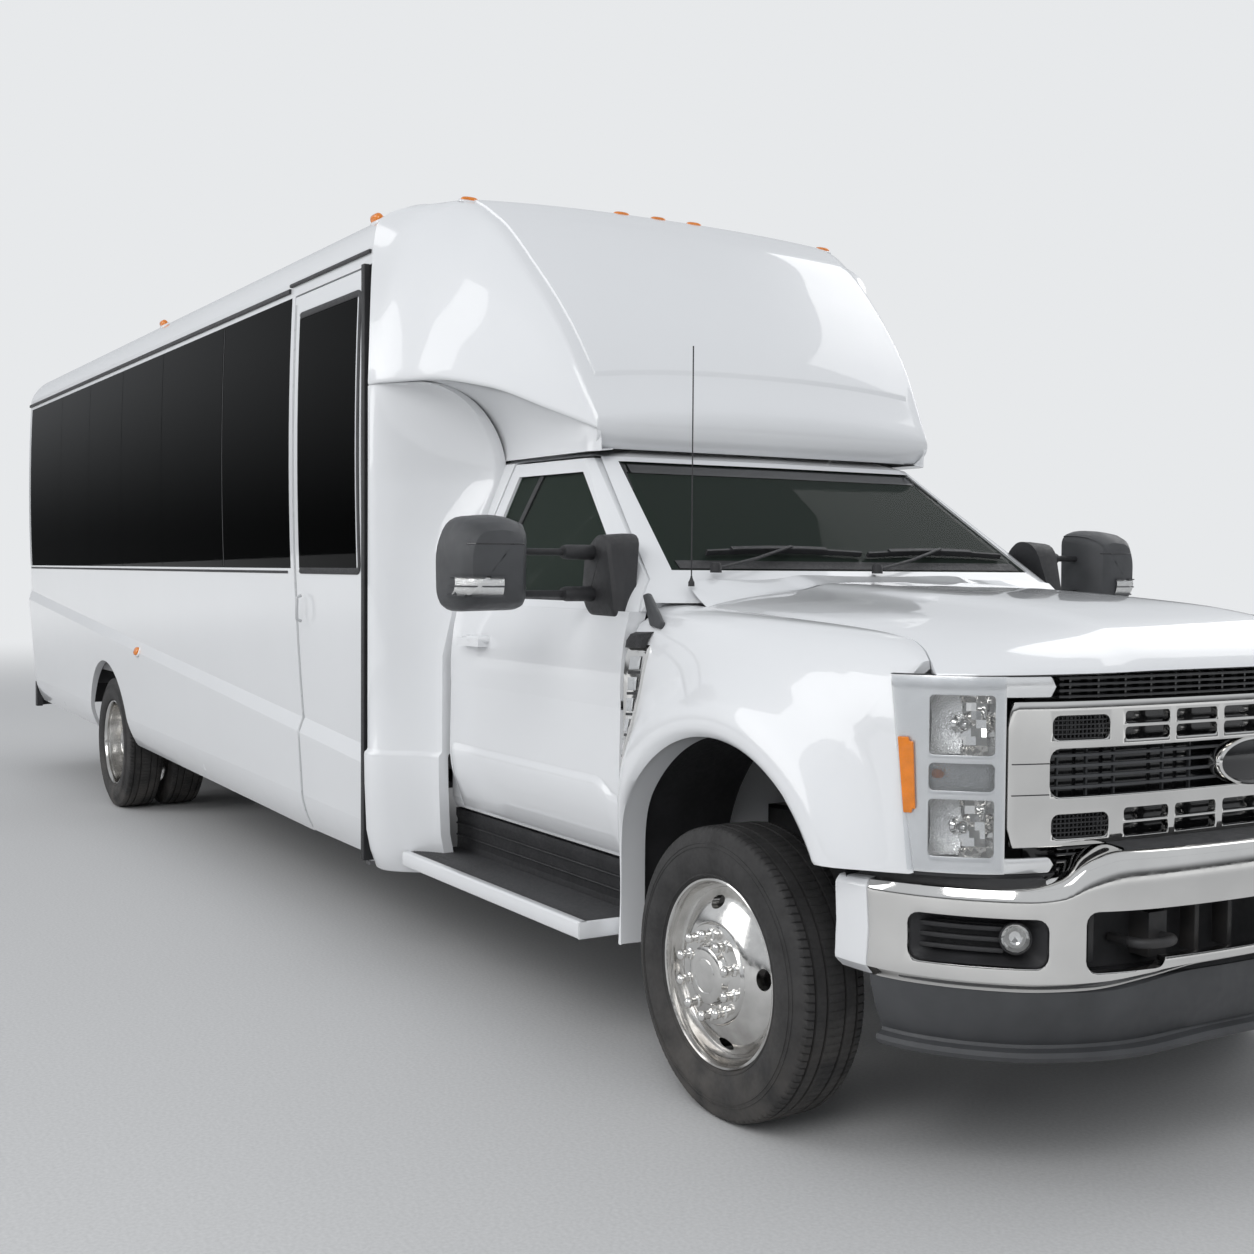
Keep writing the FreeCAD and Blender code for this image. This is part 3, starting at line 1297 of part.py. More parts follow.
LAMP_LOW, LAMP_TOP = 806, 1258
LAMP_POCKETS = ((862, 972), (1062, 1172))
LAMP_SLOPE = ((600, 700), (600, 862), (700, 839), (1012, 768), (1012, 700))


def headlamps():
    """A deep lamp at each corner, from the grille round to the fender, with two square pockets
    in its face and a turn signal between them."""
    outline = [(700, 672), (882, 672), (858, 760, -330), (656, 985), (648, 985), (648, 900), (700, 870)]
    lamp = prism(outline, "xy", LAMP_LOW, LAMP_TOP).cut(prism(LAMP_SLOPE, "yz", 500, 1000))
    for low, high in LAMP_POCKETS:
        deep, mouth = rounded(722, 838, low, high, 14), rounded(712, 856, low - 8, high + 8, 18)
        lamp = lamp.cut(loft(wire(deep, "yz", 790), wire(mouth, "yz", 900)))
    node("headlamps", shaped("headlamps", Part.makeCompound([lamp, flip(lamp)])))


SLOT_LENGTH, SLOT_PITCH, SLOT_HEIGHT = 62, 76, 13
GRILLE_BARS = (0.30, 0.70)
BAR_HALF = 40


def grille():
    """A bright frame with two slotted bars across it, and thin slats between them."""
    top, low, half = float(D.grille_top), float(D.grille_bottom), float(D.grille_half)
    front = [(886, -half), (926, -300, -6000), (926, 300), (886, half), (846, half), (872, 300),
             (872, -300), (846, -half)]
    body = prism(front, "xy", low, top)
    bars = [low + (top - low) * share for share in GRILLE_BARS]
    edges = [low + 22] + [z + reach for z in bars for reach in (-BAR_HALF, BAR_HALF)] + [top - 22]
    tools = []
    for z0, z1 in zip(edges[::2], edges[1::2]):
        for y0, y1 in ((-half + 26, -170), (170, half - 26)):
            tools.append(prism(rounded(y0, y1, z0, z1, 9), "yz", 800, 1000))
    for z in bars:
        for row in (-1, 1):
            for i in range(int((half - 200) / SLOT_PITCH)):
                y = 200 + SLOT_PITCH * i
                for y0 in (y, -y - SLOT_LENGTH):
                    z0 = z + row * BAR_HALF / 2 - SLOT_HEIGHT / 2
                    slot = rounded(y0, y0 + SLOT_LENGTH, z0, z0 + SLOT_HEIGHT, 5)
                    tools.append(prism(slot, "yz", 800, 1000))
    middle = (edges[2] + edges[3]) / 2
    slats = [block(856, 880, -half + 20, half - 20, z - 4, z + 4) for z in (middle - 22, middle, middle + 22)]
    uprights = [block(850, 868, y - 6, y + 6, low + 10, top - 10) for y in (-560, -450, -320, 320, 450, 560)]
    solid = body.cut(tools).multiFuse(slats + uprights)
    node("grille", shaped("grille", one(solid)))


def core_support():
    """Radiator and the frame that carries lamps, grille and bonnet edge."""
    rail_top = float(D.rail_bottom + D.rail_height)
    core = block(560, 640, -560, 560, rail_top + 12, 1225)
    bars = [block(640, 700, -800, 800, z, z + 40) for z in (840, 1200)]
    sides = [block(600, 700, side * 560, side * 600, rail_top + 12, 1240) for side in (-1, 1)]
    arms = [block(690, 849.6, side * 570, side * 610, z, z + 40) for side in (-1, 1) for z in (900, 1180)]
    feet = [block(560, 700, side * 367, side * 432, rail_top, 850) for side in (-1, 1)]
    wings = [block(640, 700, side * 700, side * 800, 840, 1240) for side in (-1, 1)]
    node("core_support", shaped("core_support", one(core.multiFuse(bars + sides + arms + feet + wings))))


BUMPER_END = 470


def bumper_plan(inset):
    """Plan of the bumper's face, set back by inset."""
    x = float(D.front_overhang) - inset
    side = 1012 - inset
    return [(x, 0, -crown(600, 62)), (x - 62, 600, -460), (700 - inset * 0.3, side - 38), (BUMPER_END, side)]


def bumper_hollow(inset):
    """The bumper's plan set back by inset, open to the rear past the bumper's ends."""
    return [(x - 70 if x < BUMPER_END + 5 else x, *rest) for x, *rest in symmetric(bumper_plan(inset), 1)]


def front_bumper():
    """A pressed face that wraps round the corners, with openings for hooks and fog lamps."""
    low, top, wallt = float(D.bumper_bottom), float(D.bumper_top), BUMPER_WALL
    steps = [(28, low), (0, low + 60), (0, top - 40), (22, top)]
    rings = [wire(symmetric(bumper_plan(inset), 1), "xy", z) for inset, z in steps]
    outer = loft(*rings[:2]).multiFuse([loft(*rings[1:3]), loft(*rings[2:])])
    solid = outer.cut(prism(bumper_hollow(wallt), "xy", low - 10, top + 10))
    deck = prism(symmetric(bumper_plan(wallt - 5), 1), "xy", top - 60, top - 30)
    deck = deck.common(block(780, 1100, -690, 690, 400, 1000))
    slots = []
    for y0, y1, z0, z1 in ((90, 640, 596, 700), (745, 905, 600, 740)):
        slots.append(prism(rounded(y0, y1, z0, z1, 25), "yz", 760, 1200))
        slots.append(prism(rounded(-y1, -y0, z0, z1, 25), "yz", 760, 1200))
    shoulders = []
    for side in (-1, 1):
        outline = [(side * 600, 900), (side * 600, top), (side * 1020, 757), (side * 1020, 900)]
        shoulders.append(prism(outline, "yz", 300, 1200))
    solid = solid.cut(slots + shoulders).fuse(deck)
    face = float(D.front_overhang) - wallt
    beam = block(face - 30, face + 2, -520, 520, 705, 760)
    node("front_bumper", shaped("front_bumper", one(solid.fuse(beam))))


def air_dam():
    """A plastic valance under the bumper, leaning back to its lower edge."""
    top, low = float(D.bumper_bottom - D.seat_gap), 345
    outer = loft(*[wire(symmetric(bumper_plan(inset), 1), "xy", z) for inset, z in ((110, low), (30, top))])
    inner = loft(wire(bumper_hollow(138), "xy", low - 5), wire(bumper_hollow(57), "xy", top + 5))
    node("air_dam", shaped("air_dam", one(outer.cut(inner))))


def cab_steps():
    """Running boards under the doors, with a skirt behind each."""
    low, top, hanger = 392, 445, float(D.rail_bottom) + 20
    front, rear = -584, -1818
    outline = [(front, 960), (front, 1040), (-620, 1090), (-770, 1158), (-1952, 1158), (rear, 1030),
               (rear, 960)]
    parts = [block(rear, front, 940, 965, low, 604)]
    for x in (-700, -1250, -1780):
        parts.append(block(x, x + 40, D.rail_half_gap, 950, hanger, hanger + 24))
        parts.append(block(x, x + 40, 900, 945, low + 10, hanger + 24))
    solid = one(prism(outline, "xy", low, top).multiFuse(parts))
    node("cab_steps", shaped("cab_steps", Part.makeCompound([solid, flip(solid)])))


def rear_bumper():
    """A plain wrapped bar on the rear horns."""
    x0 = -float(D.rear_overhang + D.wheelbase)
    low, top = 455, BUMPER_REAR_TOP
    outer = [(x0, 0, crown(1040, 30)), (x0 + 30, 1040, 190), (x0 + 160, 1190), (x0 + 222, 1190)]
    inner = [(x0 + 40, 0, crown(1020, 30)), (x0 + 70, 1020, 150), (x0 + 160, 1150), (x0 + 250, 1150)]
    solid = prism(symmetric(outer, 1), "xy", low, top).cut(prism(symmetric(inner, 1), "xy", low - 5, top + 5))
    node("rear_bumper", shaped("rear_bumper", one(solid)))


# Clearance lamps on the roof's edge, behind the front axle as shares of the coach's rear end, and
# on the cap, from the centre line as shares of the body's half width.
ROOF_LAMPS = (0.262, 0.621, 0.988)
CAP_LAMPS = (0, 0.143, 0.722)
LAMP_LENGTH, LAMP_WIDTH, LAMP_PROUD = 70, 24, 16
SIDE_MARKER_HEIGHT = 1030


def marker_lamps():
    """Amber clearance lamps along the roof and the cap, and a side marker on each flank."""
    length, width = LAMP_LENGTH / 2, LAMP_WIDTH / 2
    eave = float(ROOF_TOP) - 115
    edge = bow(eave) - 96
    flank, proud = 0.868 * float(REAR_AXLE), bow(SIDE_MARKER_HEIGHT) + float(D.belt_proud)
    lamps = [block(x - length, x + length, edge - 60, edge + LAMP_PROUD + 6, eave - width, eave + width)
             for x in (-share * float(COACH_REAR) for share in ROOF_LAMPS)]
    lamps.append(block(flank - length, flank + length, proud - 30, proud + LAMP_PROUD,
                       SIDE_MARKER_HEIGHT - width, SIDE_MARKER_HEIGHT + width))
    skin = wall(-D.coach_front, -COACH_REAR).fuse(roof_solid())
    side = [max(lamp.cut(skin).Solids, key=lambda piece: piece.CenterOfMass.y) for lamp in lamps]
    brow, top = -float(D.coach_front) + 90, float(ROOF_TOP)
    cap, crest = cap_outer(), []
    for share in CAP_LAMPS:
        y = share * float(D.body_width) / 2
        lamp = block(brow - width, brow + width, y - length, y + length, top - 90, top - 2 - 26 * share)
        crest.append(max(lamp.cut(cap).Solids, key=lambda piece: piece.CenterOfMass.z))
    mirrored = [flip(lamp) for lamp in side + crest[1:]]
    node("marker_lamps", shaped("marker_lamps", Part.makeCompound(side + crest + mirrored)))


TAIL_LAMPS = (1180, 1350, 1520)
TAIL_LAMP_RADIUS = 62


def tail_lamps():
    """Three round lamps on each side of the tail."""
    face = float(TAIL)
    made = []
    for z in TAIL_LAMPS:
        for y in (-960, 960):
            made.append(rod((face - 26, y, z), (face - D.seat_gap, y, z), TAIL_LAMP_RADIUS))
    node("tail_lamps", shaped("tail_lamps", Part.makeCompound(made)))


FLAP_REACH = 1085


def mud_flaps():
    """A rubber flap behind each pair of rear wheels, hung from the floor's bearer."""
    x = float(REAR_AXLE) - float(D.tyre_radius) - 140
    top = float(D.rail_bottom + D.rail_height)
    made = []
    for side in (-1, 1):
        made.append(block(x - 10, x, side * 600, side * FLAP_REACH, 190, top))
    node("mud_flaps", shaped("mud_flaps", Part.makeCompound(made)))


def finish():
    DOC.recompute()
    faults = [o.Label for o in DOC.Objects if "Invalid" in o.State or "Error" in o.State]
    for piece in NODES:
        if piece.Shape.isNull() or not piece.Shape.isValid():
            faults.append(piece.Label)
    if faults:
        raise RuntimeError("failed: " + ", ".join(faults))
    os.makedirs("parts", exist_ok=True)
    for piece in NODES:
        piece.Shape.exportStep(f"parts/{piece.Label}.step")


front_wheels()
rear_wheels()
knuckles()
tie_rod()
front_axle()
rear_axle()
springs()
frame()
drive_line()
side_walls()
entry_door()
roof()
rear_cap()
coach_glass()
coach_floor()
seats()
front_cap()
cab_shell()
windshield()
cab_doors()
mirrors()
cab_inside()
hood()
fenders()
headlamps()
grille()
core_support()
front_bumper()
air_dam()
cab_steps()
rear_bumper()
marker_lamps()
tail_lamps()
mud_flaps()
finish()
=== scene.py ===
"""Looks of the minibus: finishes, lamps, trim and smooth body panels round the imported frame.

Places are metres from the point on the ground under the front axle, +x forward and +y to the
vehicle's left, and at() moves them into the frame.
"""
import json
import math
import bmesh
import bpy
import numpy as np
from mathutils import Matrix, Vector


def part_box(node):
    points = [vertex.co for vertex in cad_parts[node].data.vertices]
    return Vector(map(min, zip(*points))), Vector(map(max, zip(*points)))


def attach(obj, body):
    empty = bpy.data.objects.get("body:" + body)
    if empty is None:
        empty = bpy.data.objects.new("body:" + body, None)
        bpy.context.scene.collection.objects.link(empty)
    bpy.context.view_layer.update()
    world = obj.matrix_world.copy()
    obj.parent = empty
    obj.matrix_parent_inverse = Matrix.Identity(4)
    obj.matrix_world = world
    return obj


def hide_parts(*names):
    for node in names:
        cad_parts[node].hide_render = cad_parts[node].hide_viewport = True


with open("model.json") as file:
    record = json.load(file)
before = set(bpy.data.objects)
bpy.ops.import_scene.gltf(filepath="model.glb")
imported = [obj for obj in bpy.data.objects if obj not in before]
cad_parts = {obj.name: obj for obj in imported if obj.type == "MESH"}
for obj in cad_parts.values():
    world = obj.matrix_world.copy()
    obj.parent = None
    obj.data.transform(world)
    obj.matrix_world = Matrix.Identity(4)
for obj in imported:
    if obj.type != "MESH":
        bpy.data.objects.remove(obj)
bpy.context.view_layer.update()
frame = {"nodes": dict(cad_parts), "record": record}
NODES = frame["nodes"]
SIDES = (("left", 1), ("right", -1))

wheel_low, wheel_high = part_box("front_tyre_left")
AXLE_X = (wheel_low.x + wheel_high.x) / 2
WHEEL_Z = (wheel_low.z + wheel_high.z) / 2


def at(x, y, z):
    return Vector((AXLE_X + x, y, z))


# Camera, floor and light

CAMERA_SPOT = (3.538, -3.496, 1.534)
CAMERA_TURN, CAMERA_TILT, CAMERA_ROLL = math.radians(58.73), math.radians(2.15), math.radians(0.42)
FOCAL_PIXELS, FRAME_PIXELS, SENSOR = 1557.3, 1254, 36
BACKDROP = (0.80, 0.815, 0.83)


def make_camera():
    data = bpy.data.cameras.new("camera")
    data.sensor_width = SENSOR
    data.lens = SENSOR * FOCAL_PIXELS / FRAME_PIXELS
    data.clip_end = 500
    camera = bpy.data.objects.new("camera", data)
    bpy.context.scene.collection.objects.link(camera)
    ahead = Vector((-math.sin(CAMERA_TURN) * math.cos(CAMERA_TILT),
                    math.cos(CAMERA_TURN) * math.cos(CAMERA_TILT), -math.sin(CAMERA_TILT)))
    level = ahead.cross(Vector((0, 0, 1))).normalized()
    up = level.cross(ahead)
    right = math.cos(CAMERA_ROLL) * level + math.sin(CAMERA_ROLL) * up
    up = right.cross(ahead)
    turn = Matrix((right, up, -ahead)).transposed().to_4x4()
    camera.matrix_world = Matrix.Translation(at(*CAMERA_SPOT)) @ turn
    bpy.context.scene.camera = camera


def make_floor():
    material, t = new_material("studio_floor")
    place = t.add("ShaderNodeNewGeometry").outputs["Position"]
    fine = t.add("ShaderNodeTexNoise", {"Vector": place, "Scale": 90.0, "Detail": 6})
    speck = t.add("ShaderNodeMapRange", {"Value": fine.outputs["Fac"], "From Min": 0.3, "From Max": 0.7,
                                         "To Min": 0.56, "To Max": 0.64})
    level = speck.outputs["Result"]
    colour = t.add("ShaderNodeCombineColor", {0: level, 1: level, 2: level})
    lit = t.add("ShaderNodeBsdfPrincipled", {"Base Color": colour.outputs["Color"], "Roughness": 0.85})
    away = t.add("ShaderNodeVectorMath", {0: place}, operation="LENGTH")
    fade = t.add("ShaderNodeMapRange", {"Value": away.outputs["Value"], "From Min": 9.0, "From Max": 26.0},
                 interpolation_type="SMOOTHSTEP")
    far = t.add("ShaderNodeEmission", {"Color": rgba(BACKDROP), "Strength": 1.0})
    both = t.add("ShaderNodeMixShader", {0: fade.outputs["Result"], 1: lit.outputs["BSDF"],
                                         2: far.outputs["Emission"]})
    t.add("ShaderNodeOutputMaterial", {"Surface": both.outputs["Shader"]})
    bpy.ops.mesh.primitive_circle_add(vertices=96, radius=120, fill_type="NGON")
    floor = bpy.context.object
    floor.name = "studio_floor"
    floor.data.materials.append(material)


def make_world():
    """Pale behind the object; the light itself is brighter overhead than near the horizon."""
    world = bpy.data.worlds.new("studio")
    world.use_nodes = True
    t = Tree(world.node_tree)
    height = t.add("ShaderNodeSeparateXYZ", {"Vector": t.add("ShaderNodeTexCoord").outputs["Generated"]})
    ramp = t.add("ShaderNodeMapRange", {"Value": height.outputs["Z"], "From Min": 0.0, "From Max": 0.17,
                                        "To Min": 0.07, "To Max": 0.62}, interpolation_type="SMOOTHSTEP")
    dome = t.add("ShaderNodeBackground", {"Color": (0.93, 0.96, 1.0, 1), "Strength": ramp.outputs["Result"]})
    pale = t.add("ShaderNodeBackground", {"Color": rgba(BACKDROP), "Strength": 1.0})
    path = t.add("ShaderNodeLightPath")
    seen = t.add("ShaderNodeMath", {0: path.outputs["Is Camera Ray"], 1: path.outputs["Is Transmission Ray"]},
                 operation="MAXIMUM")
    both = t.add("ShaderNodeMixShader", {0: seen.outputs["Value"], 1: dome.outputs["Background"],
                                         2: pale.outputs["Background"]})
    t.add("ShaderNodeOutputWorld", {"Surface": both.outputs["Shader"]})
    bpy.context.scene.world = world


# name, place, what it looks at, width, power
LIGHTS = (
    ("key", (7, -9, 8.5), (-1, -1, 1), 7, 560),
    ("side", (-8, -13, 7), (-5, -1, 1.5), 9, 560),
    ("far", (-3, 12, 9), (-3, 0, 1.5), 10, 480),
)


def make_lights():
    for name, spot, aim, width, power in LIGHTS:
        data = bpy.data.lights.new(name, "AREA")
        data.size, data.energy = width, power
        light = bpy.data.objects.new(name, data)
        bpy.context.scene.collection.objects.link(light)
        turn = (at(*aim) - at(*spot)).to_track_quat("-Z", "Y").to_matrix().to_4x4()
        light.matrix_world = Matrix.Translation(at(*spot)) @ turn


# Finishes


class Tree:
    """A material's node tree with short ways to add and join nodes."""

    def __init__(self, tree):
        self.tree = tree
        tree.nodes.clear()

    def add(self, kind, inputs=(), **settings):
        made = self.tree.nodes.new(kind)
        for name, value in settings.items():
            setattr(made, name, value)
        for name, value in dict(inputs).items():
            if isinstance(value, bpy.types.NodeSocket):
                self.tree.links.new(value, made.inputs[name])
            else:
                made.inputs[name].default_value = value
        return made


def new_material(name):
    material = bpy.data.materials.new(name)
    material.use_nodes = True
    return material, Tree(material.node_tree)


def rgba(colour):
    return (*colour, 1)


def grey_noise(t, scale, detail=4, low=0.35, high=0.65):
    """Noise in metres of the piece's own space, spread to 0..1."""
    place = t.add("ShaderNodeTexCoord").outputs["Object"]
    noise = t.add("ShaderNodeTexNoise", {"Vector": place, "Scale": scale, "Detail": detail})
    spread = t.add("ShaderNodeMapRange", {"Value": noise.outputs["Fac"], "From Min": low, "From Max": high})
    return spread.outputs["Result"]


def surface(name, colour, rough, metal=0.0, coat=0.0, mottle=(3, 0.06), grain=(900, 0.1), rough_spread=0.06,
            specular=0.5, sheen=0.0, dust_and_shade=None):
    """A finish whose colour, gloss and relief vary a little; the last argument is (colour, z where it starts,
    z where it is full), a colour blended in, in blotches, towards the bottom: real dust on some finishes,
    painted shade on others.
    """
    material, t = new_material(name)
    patches = grey_noise(t, mottle[0])
    dark = tuple(c * (1 - mottle[1]) for c in colour)
    light = tuple(min(c * (1 + mottle[1]), 1) for c in colour)
    tint = t.add("ShaderNodeMix", {"Factor": patches, "A": rgba(dark), "B": rgba(light)}, data_type="RGBA")
    colour_out = tint.outputs["Result"]
    # Blends a colour in towards the bottom: lighter real dust on the tyres and chassis, darker painted shade
    # on the polished wheels.
    if dust_and_shade:
        place = t.add("ShaderNodeNewGeometry").outputs["Position"]
        height = t.add("ShaderNodeSeparateXYZ", {"Vector": place})
        share = t.add("ShaderNodeMapRange", {"Value": height.outputs["Z"], "From Min": dust_and_shade[1],
                                             "From Max": dust_and_shade[2]})
        blotch = t.add("ShaderNodeMath", {0: share.outputs["Result"], 1: grey_noise(t, 9)},
                       operation="MULTIPLY")
        bottom_tint = t.add("ShaderNodeMix", {"Factor": blotch.outputs["Value"], "A": colour_out,
                                         "B": rgba(dust_and_shade[0])}, data_type="RGBA")
        colour_out = bottom_tint.outputs["Result"]
    gloss = t.add("ShaderNodeMapRange", {
        "Value": grey_noise(t, mottle[0] * 6), "To Min": max(rough - rough_spread, 0.01),
        "To Max": rough + rough_spread})
    fine = grey_noise(t, grain[0], 2)
    relief = t.add("ShaderNodeBump", {"Height": fine, "Strength": grain[1], "Distance": 0.001})
    shader = t.add("ShaderNodeBsdfPrincipled", {
        "Base Color": colour_out, "Roughness": gloss.outputs["Result"], "Metallic": metal,
        "Coat Weight": coat, "Coat Roughness": 0.03, "Specular IOR Level": specular, "Sheen Weight": sheen,
        "Normal": relief.outputs["Normal"]})
    t.add("ShaderNodeOutputMaterial", {"Surface": shader.outputs["BSDF"]})
    return material


def glazing(name, tint, clearness, rough=0.01):
    """Tinted glass: a coloured see-through body under a clear gloss."""
    material, t = new_material(name)
    smear = t.add("ShaderNodeMapRange", {"Value": grey_noise(t, 5), "To Min": rough, "To Max": rough * 3})
    see = t.add("ShaderNodeBsdfTransparent", {"Color": rgba(tint)})
    gloss = t.add("ShaderNodeBsdfPrincipled", {
        "Base Color": rgba(tuple(c * 0.15 for c in tint)), "Roughness": smear.outputs["Result"], "IOR": 1.52})
    edge = t.add("ShaderNodeFresnel", {"IOR": 1.5})
    body = t.add("ShaderNodeMath", {0: edge.outputs["Fac"], 1: 1 - clearness}, operation="MAXIMUM")
    both = t.add("ShaderNodeMixShader", {0: body.outputs["Value"], 1: see.outputs["BSDF"],
                                         2: gloss.outputs["BSDF"]})
    t.add("ShaderNodeOutputMaterial", {"Surface": both.outputs["Shader"]})
    return material


def lens(name, tint, clear=0.0):
    """Clear or coloured lamp lens with small moulded pillows."""
    material, t = new_material(name)
    place = t.add("ShaderNodeTexCoord").outputs["Object"]
    cells = t.add("ShaderNodeTexVoronoi", {"Vector": place, "Scale": 170.0})
    relief = t.add("ShaderNodeBump", {"Height": cells.outputs["Distance"], "Strength": 0.35,
                                      "Distance": 0.002})
    shade = t.add("ShaderNodeMix", {"Factor": grey_noise(t, 30), "A": rgba(tuple(c * 0.85 for c in tint)),
                                    "B": rgba(tint)}, data_type="RGBA")
    shader = t.add("ShaderNodeBsdfPrincipled", {
        "Base Color": shade.outputs["Result"], "Roughness": 0.05, "IOR": 1.49, "Coat Weight": 0.6,
        "Normal": relief.outputs["Normal"]})
    body = shader.outputs["BSDF"]
    if clear:
        see = t.add("ShaderNodeBsdfTransparent", {"Color": (0.95, 0.96, 0.97, 1)})
        edge = t.add("ShaderNodeFresnel", {"IOR": 1.5})
        share = t.add("ShaderNodeMath", {0: edge.outputs["Fac"], 1: 1 - clear}, operation="MAXIMUM")
        body = t.add("ShaderNodeMixShader", {0: share.outputs["Value"], 1: see.outputs["BSDF"], 2: body})
        body = body.outputs["Shader"]
    t.add("ShaderNodeOutputMaterial", {"Surface": body})
    return material


MATERIALS = {
    "paint": surface("paint", (0.80, 0.81, 0.825), 0.32, coat=1.0, mottle=(1.2, 0.008), grain=(40, 0.004),
                     rough_spread=0.02),
    "tinted": glazing("tinted", (0.05, 0.055, 0.055), 0.90),
    "greenish": glazing("greenish", (0.62, 0.70, 0.65), 0.93),
    "chrome": surface("chrome", (0.80, 0.79, 0.77), 0.07, metal=1.0, mottle=(6, 0.04), grain=(60, 0.01),
                      rough_spread=0.03),
    "grey_paint": surface("grey_paint", (0.50, 0.51, 0.52), 0.30, coat=0.5, mottle=(5, 0.02),
                          grain=(300, 0.02), rough_spread=0.04),
    "satin": surface("satin", (0.86, 0.865, 0.87), 0.20, metal=0.6, coat=0.8, mottle=(6, 0.03),
                     grain=(60, 0.01), rough_spread=0.04),
    "pebbled": surface("pebbled", (0.80, 0.80, 0.79), 0.12, metal=1.0, mottle=(8, 0.05), grain=(260, 0.9),
                       rough_spread=0.04),
    # Darker towards the bottom: painted shade on the lower half of the polished wheels.
    "polished": surface("polished", (0.74, 0.73, 0.71), 0.15, metal=1.0, mottle=(12, 0.10), grain=(90, 0.02),
                        rough_spread=0.06, dust_and_shade=((0.30, 0.28, 0.26), 0.45, 0.10)),
    "plastic": surface("plastic", (0.022, 0.022, 0.024), 0.48, mottle=(10, 0.2), grain=(1500, 0.35)),
    "grey_plastic": surface("grey_plastic", (0.060, 0.062, 0.066), 0.45, mottle=(6, 0.15), grain=(1300, 0.3)),
    "gloss_black": surface("gloss_black", (0.012, 0.012, 0.013), 0.14, coat=0.6, mottle=(6, 0.2),
                           grain=(300, 0.03)),
    "rubber": surface("rubber", (0.030, 0.029, 0.029), 0.70, mottle=(14, 0.25), grain=(700, 0.4),
                      dust_and_shade=((0.11, 0.10, 0.09), 0.5, -0.2)),
    "chassis": surface("chassis", (0.028, 0.028, 0.03), 0.5, mottle=(8, 0.3), grain=(500, 0.3),
                       dust_and_shade=((0.09, 0.08, 0.07), 0.9, 0.1)),
    "casting": surface("casting", (0.16, 0.155, 0.15), 0.55, metal=0.7, mottle=(12, 0.3), grain=(350, 0.6)),
    "cloth": surface("cloth", (0.075, 0.08, 0.095), 0.9, mottle=(40, 0.3), grain=(2200, 0.8), sheen=0.3),
    "trim": surface("trim", (0.23, 0.23, 0.235), 0.7, mottle=(8, 0.12), grain=(1400, 0.4)),
    "floor": surface("floor", (0.14, 0.14, 0.145), 0.6, mottle=(10, 0.2), grain=(500, 0.4)),
    "clear": lens("clear", (0.82, 0.83, 0.84), 0.88),
    "amber": lens("amber", (0.85, 0.24, 0.012)),
    "red": lens("red", (0.55, 0.02, 0.012)),
}
SLOT_FINISH = {
    "white_body": "paint", "grey_interior": "trim", "black_steel": "chassis", "cast_dark": "casting",
    "tyre_rubber": "rubber", "polished_wheel": "polished", "chrome": "chrome", "black_plastic": "plastic",
    "dark_glass": "tinted", "clear_glass": "greenish", "lamp_lens": "clear", "seat_cloth": "cloth",
    "floor_vinyl": "floor", "amber_lens": "amber", "red_lens": "red",
}
FINISH_SLOT = {finish: slot for slot, finish in SLOT_FINISH.items()}
FINISH_SLOT.update(grey_plastic="black_plastic", gloss_black="black_plastic", satin="chrome",
                   pebbled="chrome", grey_paint="white_body")


def dress_nodes():
    for part in frame["record"]["subparts"]:
        obj = NODES[part["node"]]
        obj.data.materials.clear()
        obj.data.materials.append(MATERIALS[SLOT_FINISH[part["material_slot"]]])


# Mesh tools: a form is (points, faces)


def grid(rows, closed=False, wrap=False):
    """A form through rows of points; closed joins each row's ends, wrap the last row to the first."""
    count = len(rows[0])
    points = [tuple(p) for row in rows for p in row]
    faces = []
    for i in range(len(rows) if wrap else len(rows) - 1):
        for j in range(count if closed else count - 1):
            a, b = i * count, (i + 1) % len(rows) * count
            k = (j + 1) % count
            faces.append((a + j, a + k, b + k, b + j))
    return points, faces


def shell_of(rows):
    """A closed form through rings of points, with both ends filled."""
    points, faces = grid(rows, closed=True)
    n, count = len(rows), len(rows[0])
    return points, faces + [tuple(range(count)), tuple((n - 1) * count + k for k in range(count))]


def join(*forms):
    points, faces = [], []
    for some, these in forms:
        faces += [tuple(i + len(points) for i in face) for face in these]
        points += list(some)
    return points, faces


def moved(form, place=(0, 0, 0), turn=None):
    """The form turned and then moved to a place."""
    turn = turn or Matrix.Identity(3)
    place = Vector(place)
    return [tuple(turn @ Vector(p) + place) for p in form[0]], form[1]


def mirror(form):
    points, faces = form
    return [(x, -y, z) for x, y, z in points], [face[::-1] for face in faces]


def both_sides(form):
    return join(form, mirror(form))


def handed(side):
    """What a form made for the left goes through for a side."""
    return mirror if side < 0 else lambda form: form


def lathe(profile, steps=64, axis="y"):
    """A form turned round an axis; profile is (radius, distance along the axis)."""
    rows = []
    for a in np.linspace(0, 2 * math.pi, steps, endpoint=False):
        c, s = math.cos(a), math.sin(a)
        place = {"y": lambda r, d: (r * c, d, r * s), "z": lambda r, d: (r * c, r * s, d),
                 "x": lambda r, d: (d, r * c, r * s)}[axis]
        rows.append([place(r, d) for r, d in profile])
    return grid(rows, wrap=True)


